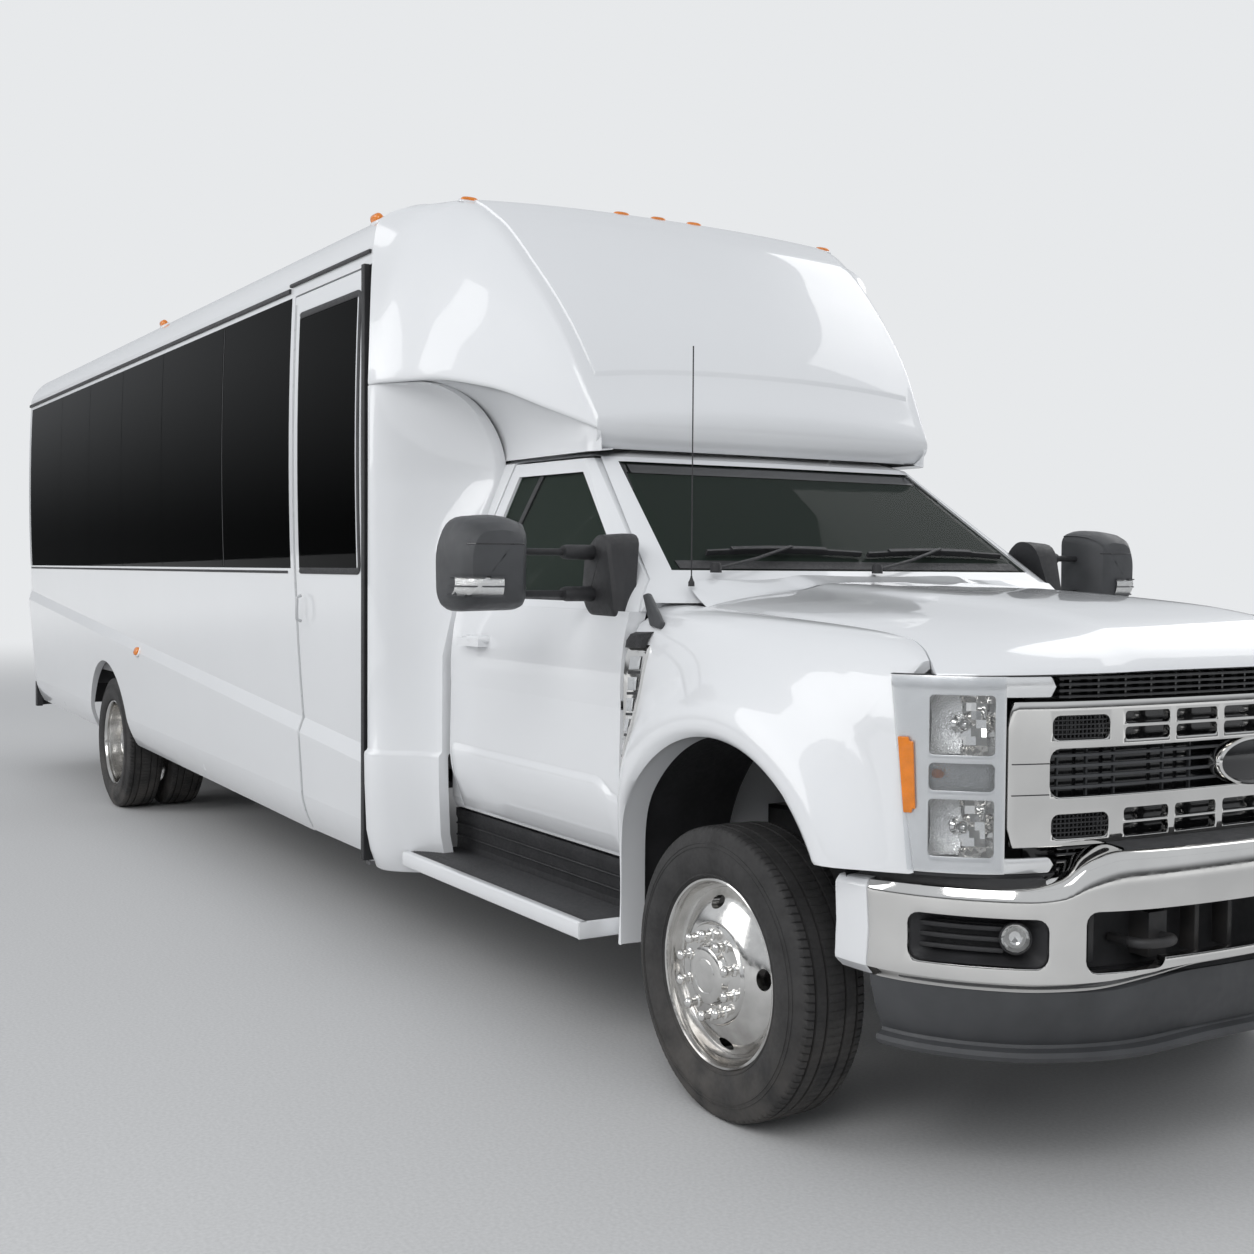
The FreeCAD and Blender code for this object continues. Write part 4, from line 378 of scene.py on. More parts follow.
def smooth_line(points, count):
    """Points spread evenly along a smooth curve through the given ones."""
    p = np.array(points, float)
    if len(p) == 2:
        return [tuple(p[0] + (p[1] - p[0]) * s) for s in np.linspace(0, 1, count)]
    p = np.vstack([2 * p[0] - p[1], p, 2 * p[-1] - p[-2]])
    out = []
    for i in range(1, len(p) - 2):
        a, b, c, d = p[i - 1:i + 3]
        for s in np.linspace(0, 1, 12, endpoint=False):
            out.append(0.5 * (2 * b + (c - a) * s + (2 * a - 5 * b + 4 * c - d) * s * s
                              + (3 * b - a - 3 * c + d) * s ** 3))
    out = np.array(out + [p[-2]])
    gone = np.concatenate([[0], np.cumsum(np.linalg.norm(np.diff(out, axis=0), axis=1))])
    want = np.linspace(0, gone[-1], count)
    return [tuple(v) for v in np.stack([np.interp(want, gone, out[:, k]) for k in range(p.shape[1])], 1)]


def table(points, x):
    """The height of a smooth curve through (x, height) pairs, with no overshoot."""
    xs, ys = np.array(points, float).T
    i = int(np.clip(np.searchsorted(xs, x) - 1, 0, len(xs) - 2))
    slopes = np.diff(ys) / np.diff(xs)
    ends = np.concatenate([[slopes[0]], [0 if a * b <= 0 else 2 * a * b / (a + b)
                                         for a, b in zip(slopes, slopes[1:])], [slopes[-1]]])
    h = xs[i + 1] - xs[i]
    s = min(max((x - xs[i]) / h, 0), 1)
    return (ys[i] * (1 + 2 * s) * (1 - s) ** 2 + h * ends[i] * s * (1 - s) ** 2
            + ys[i + 1] * s * s * (3 - 2 * s) + h * ends[i + 1] * s * s * (s - 1))


def tube(path, radius, sides=12):
    """A round bar along a path."""
    path = [Vector(p) for p in path]
    rows, up = [], Vector((0.03, 0.05, 1))
    for i, p in enumerate(path):
        ahead = (path[min(i + 1, len(path) - 1)] - path[max(i - 1, 0)]).normalized()
        side = ahead.cross(up).normalized()
        up = side.cross(ahead)
        rows.append([p + radius * (math.cos(a) * side + math.sin(a) * up)
                     for a in np.linspace(0, 2 * math.pi, sides, endpoint=False)])
    return shell_of(rows)


def rounded(width, height, radius, steps=5):
    """A rectangle's outline with round corners, centred, as (u, v)."""
    out = []
    for cx, cy, start in ((1, 1, 0), (-1, 1, 90), (-1, -1, 180), (1, -1, 270)):
        for a in np.linspace(math.radians(start), math.radians(start + 90), steps):
            out.append((cx * (width / 2 - radius) + radius * math.cos(a),
                        cy * (height / 2 - radius) + radius * math.sin(a)))
    return out


def push_out(bm, faces, step):
    """Extrudes the faces and moves the new ones by a step."""
    made = bmesh.ops.extrude_face_region(bm, geom=faces)
    fresh = [v for v in made["geom"] if isinstance(v, bmesh.types.BMVert)]
    bmesh.ops.translate(bm, vec=step, verts=fresh)


def slab(outline, plane, low, high, bevel=0.0, segments=2):
    """A plate with the given outline, from low to high across its plane, edges rounded."""
    place = {"xy": lambda u, v, w: (u, v, w), "xz": lambda u, v, w: (u, w, v),
             "yz": lambda u, v, w: (w, u, v)}[plane]
    bm = bmesh.new()
    base = bm.faces.new([bm.verts.new(place(u, v, low)) for u, v in outline])
    push_out(bm, [base], Vector(place(0, 0, high)) - Vector(place(0, 0, low)))
    if bevel:
        edges = [e for e in bm.edges if e.calc_face_angle(0) > 0.6]
        bmesh.ops.bevel(bm, geom=edges, offset=bevel, segments=segments, affect="EDGES", profile=0.5)
    bm.verts.ensure_lookup_table()
    bm.verts.index_update()
    form = [tuple(v.co) for v in bm.verts], [tuple(v.index for v in f.verts) for f in bm.faces]
    bm.free()
    return form


def brick(low, high, bevel=0.003, segments=2):
    """A block between two corners with rounded edges."""
    outline = [(low[0], low[1]), (high[0], low[1]), (high[0], high[1]), (low[0], high[1])]
    return slab(outline, "xy", low[2], high[2], bevel, segments)


def piece(name, form, finish, body="chassis", sharp=35, replaces=(), thick=0.0):
    """A mesh piece from a form in front-axle metres, smooth up to the sharp angle."""
    bm = bmesh.new()
    verts = [bm.verts.new(at(*p)) for p in form[0]]
    for face in form[1]:
        if len(set(face)) > 2:
            bm.faces.new([verts[i] for i in face])
    bmesh.ops.remove_doubles(bm, verts=bm.verts, dist=2e-5)
    bmesh.ops.dissolve_degenerate(bm, edges=bm.edges, dist=1e-6)
    bmesh.ops.recalc_face_normals(bm, faces=bm.faces)
    mesh = bpy.data.meshes.new(name)
    bm.to_mesh(mesh)
    bm.free()
    mesh.materials.append(MATERIALS[finish])
    mesh.shade_smooth()
    mesh.set_sharp_from_angle(angle=math.radians(sharp))
    obj = bpy.data.objects.new(name, mesh)
    bpy.context.scene.collection.objects.link(obj)
    if thick:
        solid = obj.modifiers.new("thick", "SOLIDIFY")
        solid.thickness, solid.offset = thick, -1
        apply(obj)
    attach(obj, body)
    if replaces:
        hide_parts(*replaces)
    return obj


def apply(obj):
    """Turns the object's modifiers into its mesh."""
    bpy.context.view_layer.update()
    mesh = bpy.data.meshes.new_from_object(obj.evaluated_get(bpy.context.evaluated_depsgraph_get()))
    obj.modifiers.clear()
    obj.data = mesh


def carve(obj, form):
    """Cuts a form, in front-axle metres, out of a piece."""
    bm = bmesh.new()
    verts = [bm.verts.new(at(*p)) for p in form[0]]
    for face in form[1]:
        bm.faces.new([verts[i] for i in face])
    bmesh.ops.remove_doubles(bm, verts=bm.verts, dist=1e-6)
    bmesh.ops.recalc_face_normals(bm, faces=bm.faces)
    mesh = bpy.data.meshes.new("cutter")
    bm.to_mesh(mesh)
    bm.free()
    tool = bpy.data.objects.new("cutter", mesh)
    bpy.context.scene.collection.objects.link(tool)
    cut = obj.modifiers.new("cut", "BOOLEAN")
    cut.object, cut.solver = tool, "EXACT"
    apply(obj)
    bpy.data.objects.remove(tool)
    obj.data.shade_smooth()
    obj.data.set_sharp_from_angle(angle=math.radians(35))


# Wheels and tyres

# a sidewall from the bead to the shoulder: radius, and distance from the tyre's middle
SIDEWALL = ((0.250, 0.070), (0.255, 0.086), (0.262, 0.093), (0.268, 0.099), (0.272, 0.1035),
            (0.2725, 0.1055), (0.276, 0.1058), (0.277, 0.1045), (0.285, 0.1085), (0.300, 0.1135),
            (0.318, 0.1162), (0.336, 0.1166), (0.350, 0.1150), (0.3505, 0.1166), (0.3535, 0.1162),
            (0.354, 0.1142), (0.361, 0.1122), (0.3615, 0.1136), (0.3645, 0.1128), (0.365, 0.1105),
            (0.376, 0.1068), (0.388, 0.1015))
# tread cuts round the tyre
PITCHES = 110


def tread_row(radius, depth_shoulder, depth_rib):
    """The tread from shoulder to shoulder, (radius, y), with four grooves and shallow cuts."""
    half = [(radius - 0.0135, 0.0990), (radius - 0.0065 - depth_shoulder, 0.0955),
            (radius - 0.0030 - depth_shoulder, 0.0890), (radius - 0.0015 - depth_shoulder, 0.0740)]
    middle = []
    for groove in (0.068, 0.030):
        middle += [(radius - 0.0012 - depth_shoulder * (groove > 0.05), groove + 0.0042),
                   (radius - 0.0100, groove + 0.0030), (radius - 0.0100, groove - 0.0030),
                   (radius - 0.0008 - depth_rib, groove - 0.0042)]
    middle.append((radius - depth_rib, 0.012))
    row = half + middle
    return row + [(r, -y) for r, y in row[::-1]]


def tyre(radius):
    """A road tyre round its own centre: four grooves, cut ribs and moulded rings on the side."""
    rows = []
    for i in range(PITCHES):
        for share, shoulder, rib in ((0.0, 0, 0), (0.13, 0.0045, 0.0022), (0.26, 0, 0)):
            row = list(SIDEWALL) + tread_row(radius, shoulder, rib) + [(r, -y) for r, y in SIDEWALL[::-1]]
            made = []
            for r, y in row:
                lean = 0.30 * abs(y) if r > 0.39 else 0.30 * 0.0955
                a = (i + share) * 2 * math.pi / PITCHES + lean
                made.append((r * math.cos(a), y, r * math.sin(a)))
            rows.append(made)
    return grid(rows, wrap=True)


FRONT_FACE = ((0.2655, 0.0980), (0.2620, 0.1005), (0.2570, 0.0985), (0.2520, 0.0880), (0.2490, 0.0700),
              (0.2430, 0.0520), (0.2360, 0.0460), (0.2290, 0.0500), (0.2220, 0.0600), (0.2050, 0.0740),
              (0.1850, 0.0860), (0.1650, 0.0960), (0.1480, 0.1030), (0.1430, 0.1040), (0.1400, 0.1100),
              (0.1370, 0.1140), (0.1300, 0.1150), (0.0900, 0.1155), (0.0860, 0.1170), (0.0830, 0.1260),
              (0.0780, 0.1340), (0.0680, 0.1380), (0.0500, 0.1385), (0.0480, 0.1370), (0.0450, 0.1370),
              (0.0430, 0.1385), (0.0001, 0.1390))
FRONT_BACK = ((0.0001, 0.0900), (0.1250, 0.0900), (0.1500, 0.0780), (0.2150, 0.0440), (0.2360, 0.0300),
              (0.2400, -0.0600), (0.2440, -0.0850), (0.2600, -0.0985), (0.2655, -0.0980), (0.2500, -0.0860),
              (0.2480, -0.0500), (0.2480, 0.0500), (0.2510, 0.0860))
REAR_FACE = ((0.2655, 0.0980), (0.2620, 0.1005), (0.2570, 0.0985), (0.2520, 0.0880), (0.2480, 0.0600),
             (0.2430, -0.0300), (0.2360, -0.0500), (0.2220, -0.0600), (0.1900, -0.0480), (0.1600, -0.0320),
             (0.1480, -0.0280), (0.1420, -0.0270), (0.1380, -0.0200), (0.1300, -0.0180), (0.0900, -0.0180),
             (0.0880, -0.0160), (0.0860, 0.0300), (0.0820, 0.0400), (0.0700, 0.0450), (0.0500, 0.0455),
             (0.0480, 0.0440), (0.0450, 0.0440), (0.0430, 0.0455), (0.0001, 0.0460))
REAR_BACK = ((0.0001, -0.0700), (0.1400, -0.0700), (0.2200, -0.0850), (0.2400, -0.0900), (0.2600, -0.0985),
             (0.2655, -0.0980), (0.2500, -0.0860), (0.2480, -0.0500), (0.2480, 0.0500), (0.2510, 0.0860))
NUT = ((0.0001, 0.0), (0.0175, 0.0), (0.0175, 0.004), (0.0125, 0.008), (0.0118, 0.018), (0.0135, 0.023),
       (0.0150, 0.029), (0.0142, 0.035), (0.0105, 0.040), (0.0050, 0.0425), (0.0001, 0.043))
NUT_RING = 0.1125


def nuts(level, count=10):
    made = []
    for i in range(count):
        a = (i + 0.5) * 2 * math.pi / count
        made.append(moved(lathe(NUT, 20), (NUT_RING * math.cos(a), level, NUT_RING * math.sin(a))))
    return join(*made)


def hand_hole(angle, radius, along, across, low, high):
    """An oval post through the wheel, long the way the wheel turns."""
    outline = [(radius + across * math.cos(a), along * math.sin(a))
               for a in np.linspace(0, 2 * math.pi, 28)[:-1]]
    post = slab(outline, "xz", low, high)
    return moved(post, turn=Matrix.Rotation(-angle, 3, "Y"))


def wheels():
    low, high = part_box("rear_tyres_left")
    width = wheel_high.y - wheel_low.y
    rear_x = (low.x + high.x) / 2 - AXLE_X
    front_place = (0, (wheel_low.y + wheel_high.y) / 2, WHEEL_Z)
    inner_place, outer_place = (rear_x, low.y + width / 2, WHEEL_Z), (rear_x, high.y - width / 2, WHEEL_Z)
    rubber = tyre(WHEEL_Z - 0.0004)
    front = lathe(FRONT_FACE + FRONT_BACK, 144)
    rear = lathe(REAR_FACE + REAR_BACK, 144)
    for name, side in SIDES:
        flip = handed(side)
        front_wheel, rear_wheels = f"front_wheel_{name}", f"rear_wheels_{name}"
        piece(f"tyre_front_{name}", flip(moved(rubber, front_place)), "rubber", front_wheel, 40,
              [f"front_tyre_{name}"])
        disc = piece(f"wheel_front_{name}", flip(moved(front, front_place)), "polished", front_wheel, 30,
                     [front_wheel])
        for i in range(4):
            post = hand_hole(i * math.pi / 2 + 0.12, 0.196, 0.030, 0.0185, 0.02, 0.14)
            carve(disc, flip(moved(post, front_place)))
        piece(f"nuts_front_{name}", flip(moved(nuts(0.1145), front_place)), "chrome", front_wheel, 40)
        pair = join(moved(rubber, inner_place), moved(rubber, outer_place))
        piece(f"tyres_rear_{name}", flip(pair), "rubber", rear_wheels, 40, [f"rear_tyres_{name}"])
        dish = piece(f"wheel_rear_outer_{name}", flip(moved(rear, outer_place)), "polished", rear_wheels, 30,
                     [rear_wheels])
        for i in range(8):
            post = hand_hole(i * math.pi / 4, 0.198, 0.029, 0.017, -0.12, 0.0)
            carve(dish, flip(moved(post, outer_place)))
        piece(f"wheel_rear_inner_{name}", flip(moved(mirror(rear), inner_place)), "polished", rear_wheels, 30)
        piece(f"nuts_rear_{name}", flip(moved(nuts(-0.0185), outer_place)), "chrome", rear_wheels, 40)


# Hood, fenders and cowl

GAP = 0.006
# the seam beside the hood: along, out and height
SEAM = ((-0.574, 0.797, 1.426), (-0.42, 0.797, 1.418), (0, 0.80, 1.398), (0.35, 0.803, 1.379),
        (0.513, 0.815, 1.362), (0.60, 0.845, 1.343), (0.67, 0.885, 1.318), (0.738, 0.928, 1.288))
SEAM_OUT = [(x, y) for x, y, _ in SEAM]
SEAM_UP = [(x, z) for x, _, z in SEAM]
# the nose in plan: out and along
NOSE = ((0, 0.930), (0.30, 0.928), (0.50, 0.918), (0.64, 0.896), (0.745, 0.869), (0.79, 0.851),
        (0.842, 0.822), (0.891, 0.782), (0.928, 0.738))
# along the hood's middle, and height there
HOOD_MIDDLE = ((-0.42, 1.495), (0, 1.476), (0.30, 1.458), (0.513, 1.441), (0.64, 1.422), (0.75, 1.398),
               (0.84, 1.366), (0.90, 1.330), (0.926, 1.296))
# share of the half width, and share of the rise from edge to middle
HOOD_SECTION = ((0, 1), (0.30, 0.985), (0.42, 0.94), (0.52, 0.73), (0.60, 0.62), (0.80, 0.40), (0.95, 0.14),
                (1, 0))
HOOD_REAR = -0.418


def hood_point(u, v, drop=0.0):
    """A point of the hood's skin: u from cowl to grille, v from the middle to the edge."""
    side_x = HOOD_REAR + (SEAM[-1][0] - HOOD_REAR) * u
    half = table(SEAM_OUT, side_x)
    x = HOOD_REAR + (table(NOSE, abs(v) * SEAM[-1][1]) - HOOD_REAR) * u
    edge, middle = table(SEAM_UP, side_x), table(HOOD_MIDDLE, HOOD_REAR + 1.348 * u)
    z = edge + (middle - edge) * table(HOOD_SECTION, abs(v))
    return x, v * half, z - drop


def hood_skin():
    us = list(np.linspace(0, 0.80, 24)) + list(np.linspace(0.82, 1, 16))
    vs = [math.sin(a) for a in np.linspace(-math.pi / 2, math.pi / 2, 81)]
    rows = [[hood_point(u, v) for v in vs] for u in us]
    roll = [(x + 0.002, y, z - 0.004) for x, y, z in rows[-1]]
    under = [(x - 0.035, y, z - 0.011) for x, y, z in rows[-1]]
    back = [(x, y, z - 0.03) for x, y, z in rows[0]]
    top = grid([back] + rows + [roll, under])
    flange = []
    for x, y, z in [row[-1] for row in rows]:
        flange.append([(x, y, z), (x, y + 0.002, z - 0.006), (x, y - 0.004, z - 0.035)])
    return join(top, both_sides(grid(flange)))


# the fender's widest line without its flare: along and out
WIDE = ((-0.574, 1.003), (0.20, 1.003), (0.45, 0.999), (0.60, 0.989), (0.655, 0.983), (0.69, 0.964),
        (0.738, 0.936))
# out from the axle, and how far the arch stands proud
FLARE = ((0.530, 0.076), (0.540, 0.090), (0.556, 0.097), (0.585, 0.096), (0.62, 0.086), (0.66, 0.064),
         (0.70, 0.040), (0.74, 0.020), (0.79, 0.006), (0.84, 0.0))
ARCH_Z, ARCH = 0.54, 0.53
DOOR_SEAM, LEG_LOW, CHIN, LAMP_TOP = -0.574, 0.383, 0.80, 1.286


def lamp_edge(z):
    """Where the fender meets the headlamp."""
    return 0.645 + 0.055 * (LAMP_TOP - z) / 0.48 if z < LAMP_TOP else SEAM[-1][0]


def fender_side(x, z):
    """How far out the fender's skin stands at x, z."""
    down = max(table(SEAM_UP, x) - z, 0)
    full = table(WIDE, x)
    start = table(SEAM_OUT, x) + GAP
    share = (1 - (1 - min(down / 0.24, 1)) ** 2.3) ** (1 / 2.3)
    y = start + (full - start) * share
    away = math.hypot(x, z - ARCH_Z)
    out = table(FLARE, away) if away < FLARE[-1][0] else 0
    rear = min(max((x - DOOR_SEAM) / 0.16, 0), 1)
    front = min(max((lamp_edge(z) - x) / 0.24, 0), 1)
    return y + out * (1 - (1 - rear) ** 2) * (1 - (1 - front) ** 2)


def fender_reach(c, s):
    """How far the fender goes from the wheel's centre in a direction."""
    low, high = 0.5, 1.4
    for _ in range(30):
        r = (low + high) / 2
        x, z = r * c, ARCH_Z + r * s
        inside = x > DOOR_SEAM and x < lamp_edge(z) and z < table(SEAM_UP, x)
        inside = inside and (s > 0 or z > LEG_LOW)
        low, high = (r, high) if inside else (low, r)
    return low


def fender_skin():
    marks = ((-17.2, -15.3, 4), (-15.3, 57.0, 40), (57.0, 130.8, 62), (130.8, 131.2, 2), (131.2, 150.6, 14),
             (150.6, 159.4, 7))
    angles = [a for start, end, count in marks for a in np.linspace(start, end, count, endpoint=False)]
    rows = []
    for a in angles + [marks[-1][1]]:
        c, s = -math.cos(math.radians(a)), math.sin(math.radians(a))
        start = max(ARCH, (CHIN - ARCH_Z) / s) if a > 90 else ARCH
        reach = max(fender_reach(c, s), start + 0.002)
        skin = [start + (reach - start) * (1 - (1 - t) ** 1.8) for t in np.linspace(0, 1, 44)]
        outer = [(r * c, fender_side(r * c, ARCH_Z + r * s), ARCH_Z + r * s) for r in skin]
        x, y, z = outer[0]
        lip = [(x, y - d, z + (0.002 if d < 0.05 else 0)) for d in (0.085, 0.03, 0.008)]
        x, y, z = outer[-1]
        inner = (x, y - 0.004, z - 0.02) if 56 < a < 132 else (x, y - 0.02, z)
        rows.append(lip + outer + [inner])
    return grid(rows)


def wheel_well():
    rows = []
    for a in np.radians(np.linspace(-16, 158, 60)):
        c, s = -math.cos(a), math.sin(a)
        rows.append([(0.548 * c, y, ARCH_Z + 0.548 * s + 0.02 * (y < 0.7))
                     for y in (0.64, 0.66, 0.80, 0.90, 1.0)])
    return grid(rows)


# the hood's hinge, along and up
HOOD_PIN = (-0.400, 1.392)


def cowl_corner():
    """The fixed white panel behind the hood, which the hood's rear edge turns past."""
    rows = []
    for u in np.linspace(0, 1, 12):
        row = []
        for v in [math.sin(a) for a in np.linspace(-math.pi / 2, math.pi / 2, 61)]:
            x, y, z = hood_point(0, v)
            rise = z - HOOD_PIN[1]
            swing = math.hypot(x - HOOD_PIN[0], rise) + 0.006
            start = min(x - GAP, HOOD_PIN[0] - math.sqrt(swing * swing - (rise - 0.002) ** 2))
            end = x - GAP - 0.150 + 0.025 * abs(v) ** 3
            row.append((start + (end - start) * u, y, z - 0.002 + (0.020 + 0.055 * abs(v) ** 2.2) * u ** 1.2))
        rows.append(row)
    return grid(rows)


def front_body():
    piece("hood_skin", hood_skin(), "paint", "hood", 40, ["hood"])
    lining = [[hood_point(u, v, 0.03) for v in np.linspace(-0.96, 0.96, 25)]
              for u in np.linspace(0.04, 0.95, 20)]
    piece("hood_lining", grid(lining), "chassis", "hood")
    piece("fender_skins", both_sides(fender_skin()), "paint", "chassis", 45, ["fenders"])
    piece("wheel_wells", both_sides(wheel_well()), "plastic")
    piece("cowl_panel", cowl_corner(), "paint")


# Cap over the cab and the fairing columns

# x, crown z, ridge y, z, cheek y, z, side y, z, lower edge y, z
CAP = ((-2.100, 3.000, 1.000, 2.945, 1.164, 2.884, 1.218, 2.760, 1.240, 2.222),
       (-2.030, 2.992, 0.925, 2.955, 1.052, 2.880, 1.140, 2.745, 1.228, 2.226),
       (-1.840, 2.893, 0.872, 2.862, 0.966, 2.765, 1.034, 2.625, 1.124, 2.231),
       (-1.600, 2.684, 0.838, 2.648, 0.892, 2.570, 0.932, 2.465, 0.992, 2.190),
       (-1.370, 2.424, 0.800, 2.386, 0.824, 2.335, 0.842, 2.270, 0.868, 2.100),
       (-1.180, 2.114, 0.755, 2.068, 0.762, 2.054, 0.765, 2.040, 0.766, 2.020))
PANEL_TOP, PANEL_LOW, PANEL_SIDE, PANEL_PROUD = -1.985, -1.262, 0.050, 0.008
ROOF_EDGE_OF_CAB = (0.768, 1.945)


def bezier(points, count):
    p = [np.array(q, float) for q in points]
    out = []
    for t in np.linspace(0, 1, count):
        q = p
        while len(q) > 1:
            q = [(1 - t) * a + t * b for a, b in zip(q, q[1:])]
        out.append(tuple(q[0]))
    return out


def cap_section(x):
    """Half of the cap's section, (y, z), from the middle round the ridge to under the brow."""
    heights = [table([(row[0], row[k]) for row in CAP], x) for k in range(1, 10)]
    crown, ry, rz, cy, cz, sy, sz, ly, lz = heights
    soft = table(((-2.1, 0.10), (-2.03, 0.05), (-1.84, 0.032), (-1.18, 0.012)), x)
    face = [(y, crown + (rz - crown) * (y / ry) ** 2.4)
            for y in list(np.linspace(0, ry - PANEL_SIDE - 0.012, 16))
            + [ry - PANEL_SIDE + d for d in (-0.006, -0.003, 0.0, 0.004)] + [ry - soft]]
    cheek = smooth_line([(ry, rz), (cy, cz), (sy, sz), (ly, lz + 0.02)], 26)
    start = cheek[2]
    corner = bezier([face[-1], (ry, rz + 0.004), start], 7)
    under = bezier([(ly, lz + 0.02), (ly, lz), (ly - 0.018, lz)], 5)
    ty, tz = ROOF_EDGE_OF_CAB
    ty = min(ty, ly - 0.02)
    cove = [(ty + (ly - 0.018 - ty) * (1 - math.sin(a)), lz + (tz - lz) * (1 - math.cos(a)))
            for a in np.linspace(0, math.pi / 2, 16)]
    return face + corner[1:-1] + cheek[2:] + under[1:] + cove[1:] + [(0.70, 1.95)]


def cap_skin():
    xs = sorted(list(np.linspace(-2.1, -1.18, 47)) + [PANEL_TOP + d for d in (-0.004, 0.001, 0.006)]
                + [PANEL_LOW + d for d in (-0.006, -0.001, 0.004)])
    rows = []
    for x in xs:
        row = []
        for j, (y, z) in enumerate(cap_section(x)):
            inside = j < 18 and PANEL_TOP <= x <= PANEL_LOW
            row.append((x + 0.5 * PANEL_PROUD * inside, y, z + 0.85 * PANEL_PROUD * inside))
        rows.append(row)
    nose = []
    for ahead, share in ((0.009, 0.15), (0.014, 0.40), (0.008, 0.70), (-0.008, 0.92), (-0.028, 1.0)):
        nose.append([(-1.18 + ahead - 0.03 * share * (y / 0.77) ** 4, y * (1 - 0.02 * share),
                      z + (1.958 - z) * share) for x, y, z in rows[-1]])
    return grid(rows + nose)


COLUMN_PLAN = ((-2.100, 1.240), (-2.078, 1.240), (-2.045, 1.231), (-2.005, 1.203), (-1.960, 1.152),
               (-1.915, 1.100), (-1.875, 1.064), (-1.842, 1.044))
# height, and how far the fairing column stands out there
COLUMN_RISE = ((0.362, -0.050), (0.37, -0.038), (0.44, -0.012), (0.52, 0.004), (0.70, 0.012), (0.812, 0.014),
               (0.822, 0.012), (0.829, 0.003), (0.836, 0.0), (1.2, 0.0), (1.60, 0.0), (1.95, 0.0))


# height, and how far out the cab's side stands behind the door
CAB_LEAN = ((0.36, 1.044), (1.15, 1.044), (1.40, 1.018), (1.93, 0.800), (2.23, 0.790))


def column_skin():
    """The fairing from the coach's side to the cab's, which curls out under the brow."""
    plan = smooth_line(COLUMN_PLAN, 30)
    brow = [(row[0], row[8]) for row in CAP]
    start = ROOF_EDGE_OF_CAB[1] - 0.10
    rise = 2.226 - start
    curl = tuple((start + rise * math.sin(a), 0) for a in np.linspace(0, math.pi / 2, 20))
    rows = []
    for z, proud in COLUMN_RISE[:-1] + curl:
        t = max(z - start, 0) / rise
        flare = 1 - math.sqrt(max(1 - t * t, 0))
        narrow = (1.24 - table(CAB_LEAN, z)) / (1.24 - 1.044)
        back = 0.018 * min(max((z - 1.15) / 0.5, 0), 1)
        row = []
        for x, y in plan:
            y = 1.24 - (1.24 - y) * narrow
            row.append((x - back * (x + 2.1) / 0.258, y + proud + flare * (table(brow, x) - y), z))
        rows.append(row + [(row[-1][0] - 0.002, row[-1][1] - 0.04, z)])
    return grid(rows)


def cap():
    piece("cap_skin", both_sides(cap_skin()), "paint", "chassis", 50, ["front_cap"])
    piece("fairing_columns", both_sides(column_skin()), "paint", "chassis", 50)


# Nose: plates are made flat, with their openings cut, and then laid on a plan curve


def plan_curve(points):
    """Maps (along, up, out) to the frame: along runs both ways from the middle of a plan curve."""
    line = np.array(smooth_line(points, 240))
    gone = np.concatenate([[0], np.cumsum(np.linalg.norm(np.diff(line, axis=0), axis=1))])
    slope = np.gradient(line, gone, axis=0)

    def place(s, up, out=0.0):
        a = min(abs(s), gone[-1])
        x, y = np.interp(a, gone, line[:, 0]), np.interp(a, gone, line[:, 1])
        dx, dy = np.interp(a, gone, slope[:, 0]), np.interp(a, gone, slope[:, 1])
        size = math.hypot(dx, dy)
        x, y = x + out * dy / size, y - out * dx / size
        return (x, math.copysign(y, s) if s else 0.0, up)

    place.reach = lambda y: float(np.interp(y, line[:, 1], gone))
    place.length = float(gone[-1])
    return place


def plate(us, vs, depth, holes=(), edge=0.003, more=()):
    """A flat plate on the given lines with rounded openings (u, v, width, height, radius).

    Openings that overlap the first ones go in more, and are cut after them.
    """
    bm = bmesh.new()
    verts = [[bm.verts.new((u, 0, v)) for v in vs] for u in us]
    faces = []
    for a, b in zip(verts, verts[1:]):
        for i in range(len(vs) - 1):
            faces.append(bm.faces.new([a[i], a[i + 1], b[i + 1], b[i]]))
    push_out(bm, faces, (0, -depth, 0))
    bmesh.ops.recalc_face_normals(bm, faces=bm.faces)
    mesh = bpy.data.meshes.new("plate")
    bm.to_mesh(mesh)
    bm.free()
    obj = bpy.data.objects.new("plate", mesh)
    bpy.context.scene.collection.objects.link(obj)
    for group in (holes, more):
        if group:
            tools = join(*[moved(slab(rounded(w, h, r), "xz", -depth - 0.05, 0.05), (u, 0, v))
                           for u, v, w, h, r in group])
            carve(obj, ([(x - AXLE_X, y, z) for x, y, z in tools[0]], tools[1]))
    if edge:
        bevel = obj.modifiers.new("bevel", "BEVEL")
        bevel.width, bevel.segments = edge, 2
        bevel.limit_method, bevel.angle_limit = "ANGLE", math.radians(50)
        apply(obj)
    form = [tuple(v.co) for v in obj.data.vertices], [tuple(f.vertices) for f in obj.data.polygons]
    bpy.data.objects.remove(obj)
    return form


def laid(form, place, change=None):
    """A flat form (along, out, up) laid on a plan curve."""
    points = [change(*p) if change else p for p in form[0]]
    return [place(u, v, w) for u, w, v in points], form[1]


def strip(place, us, vs, depth, back, edge=0, change=None):
    """A flat bar laid on a plan curve, set back behind its face."""
    points, faces = plate(us, vs, depth, (), edge)
    return laid(([(u, w - back, v) for u, w, v in points], faces), place, change)


def around(middle, half):
    return [middle - half, middle + half]


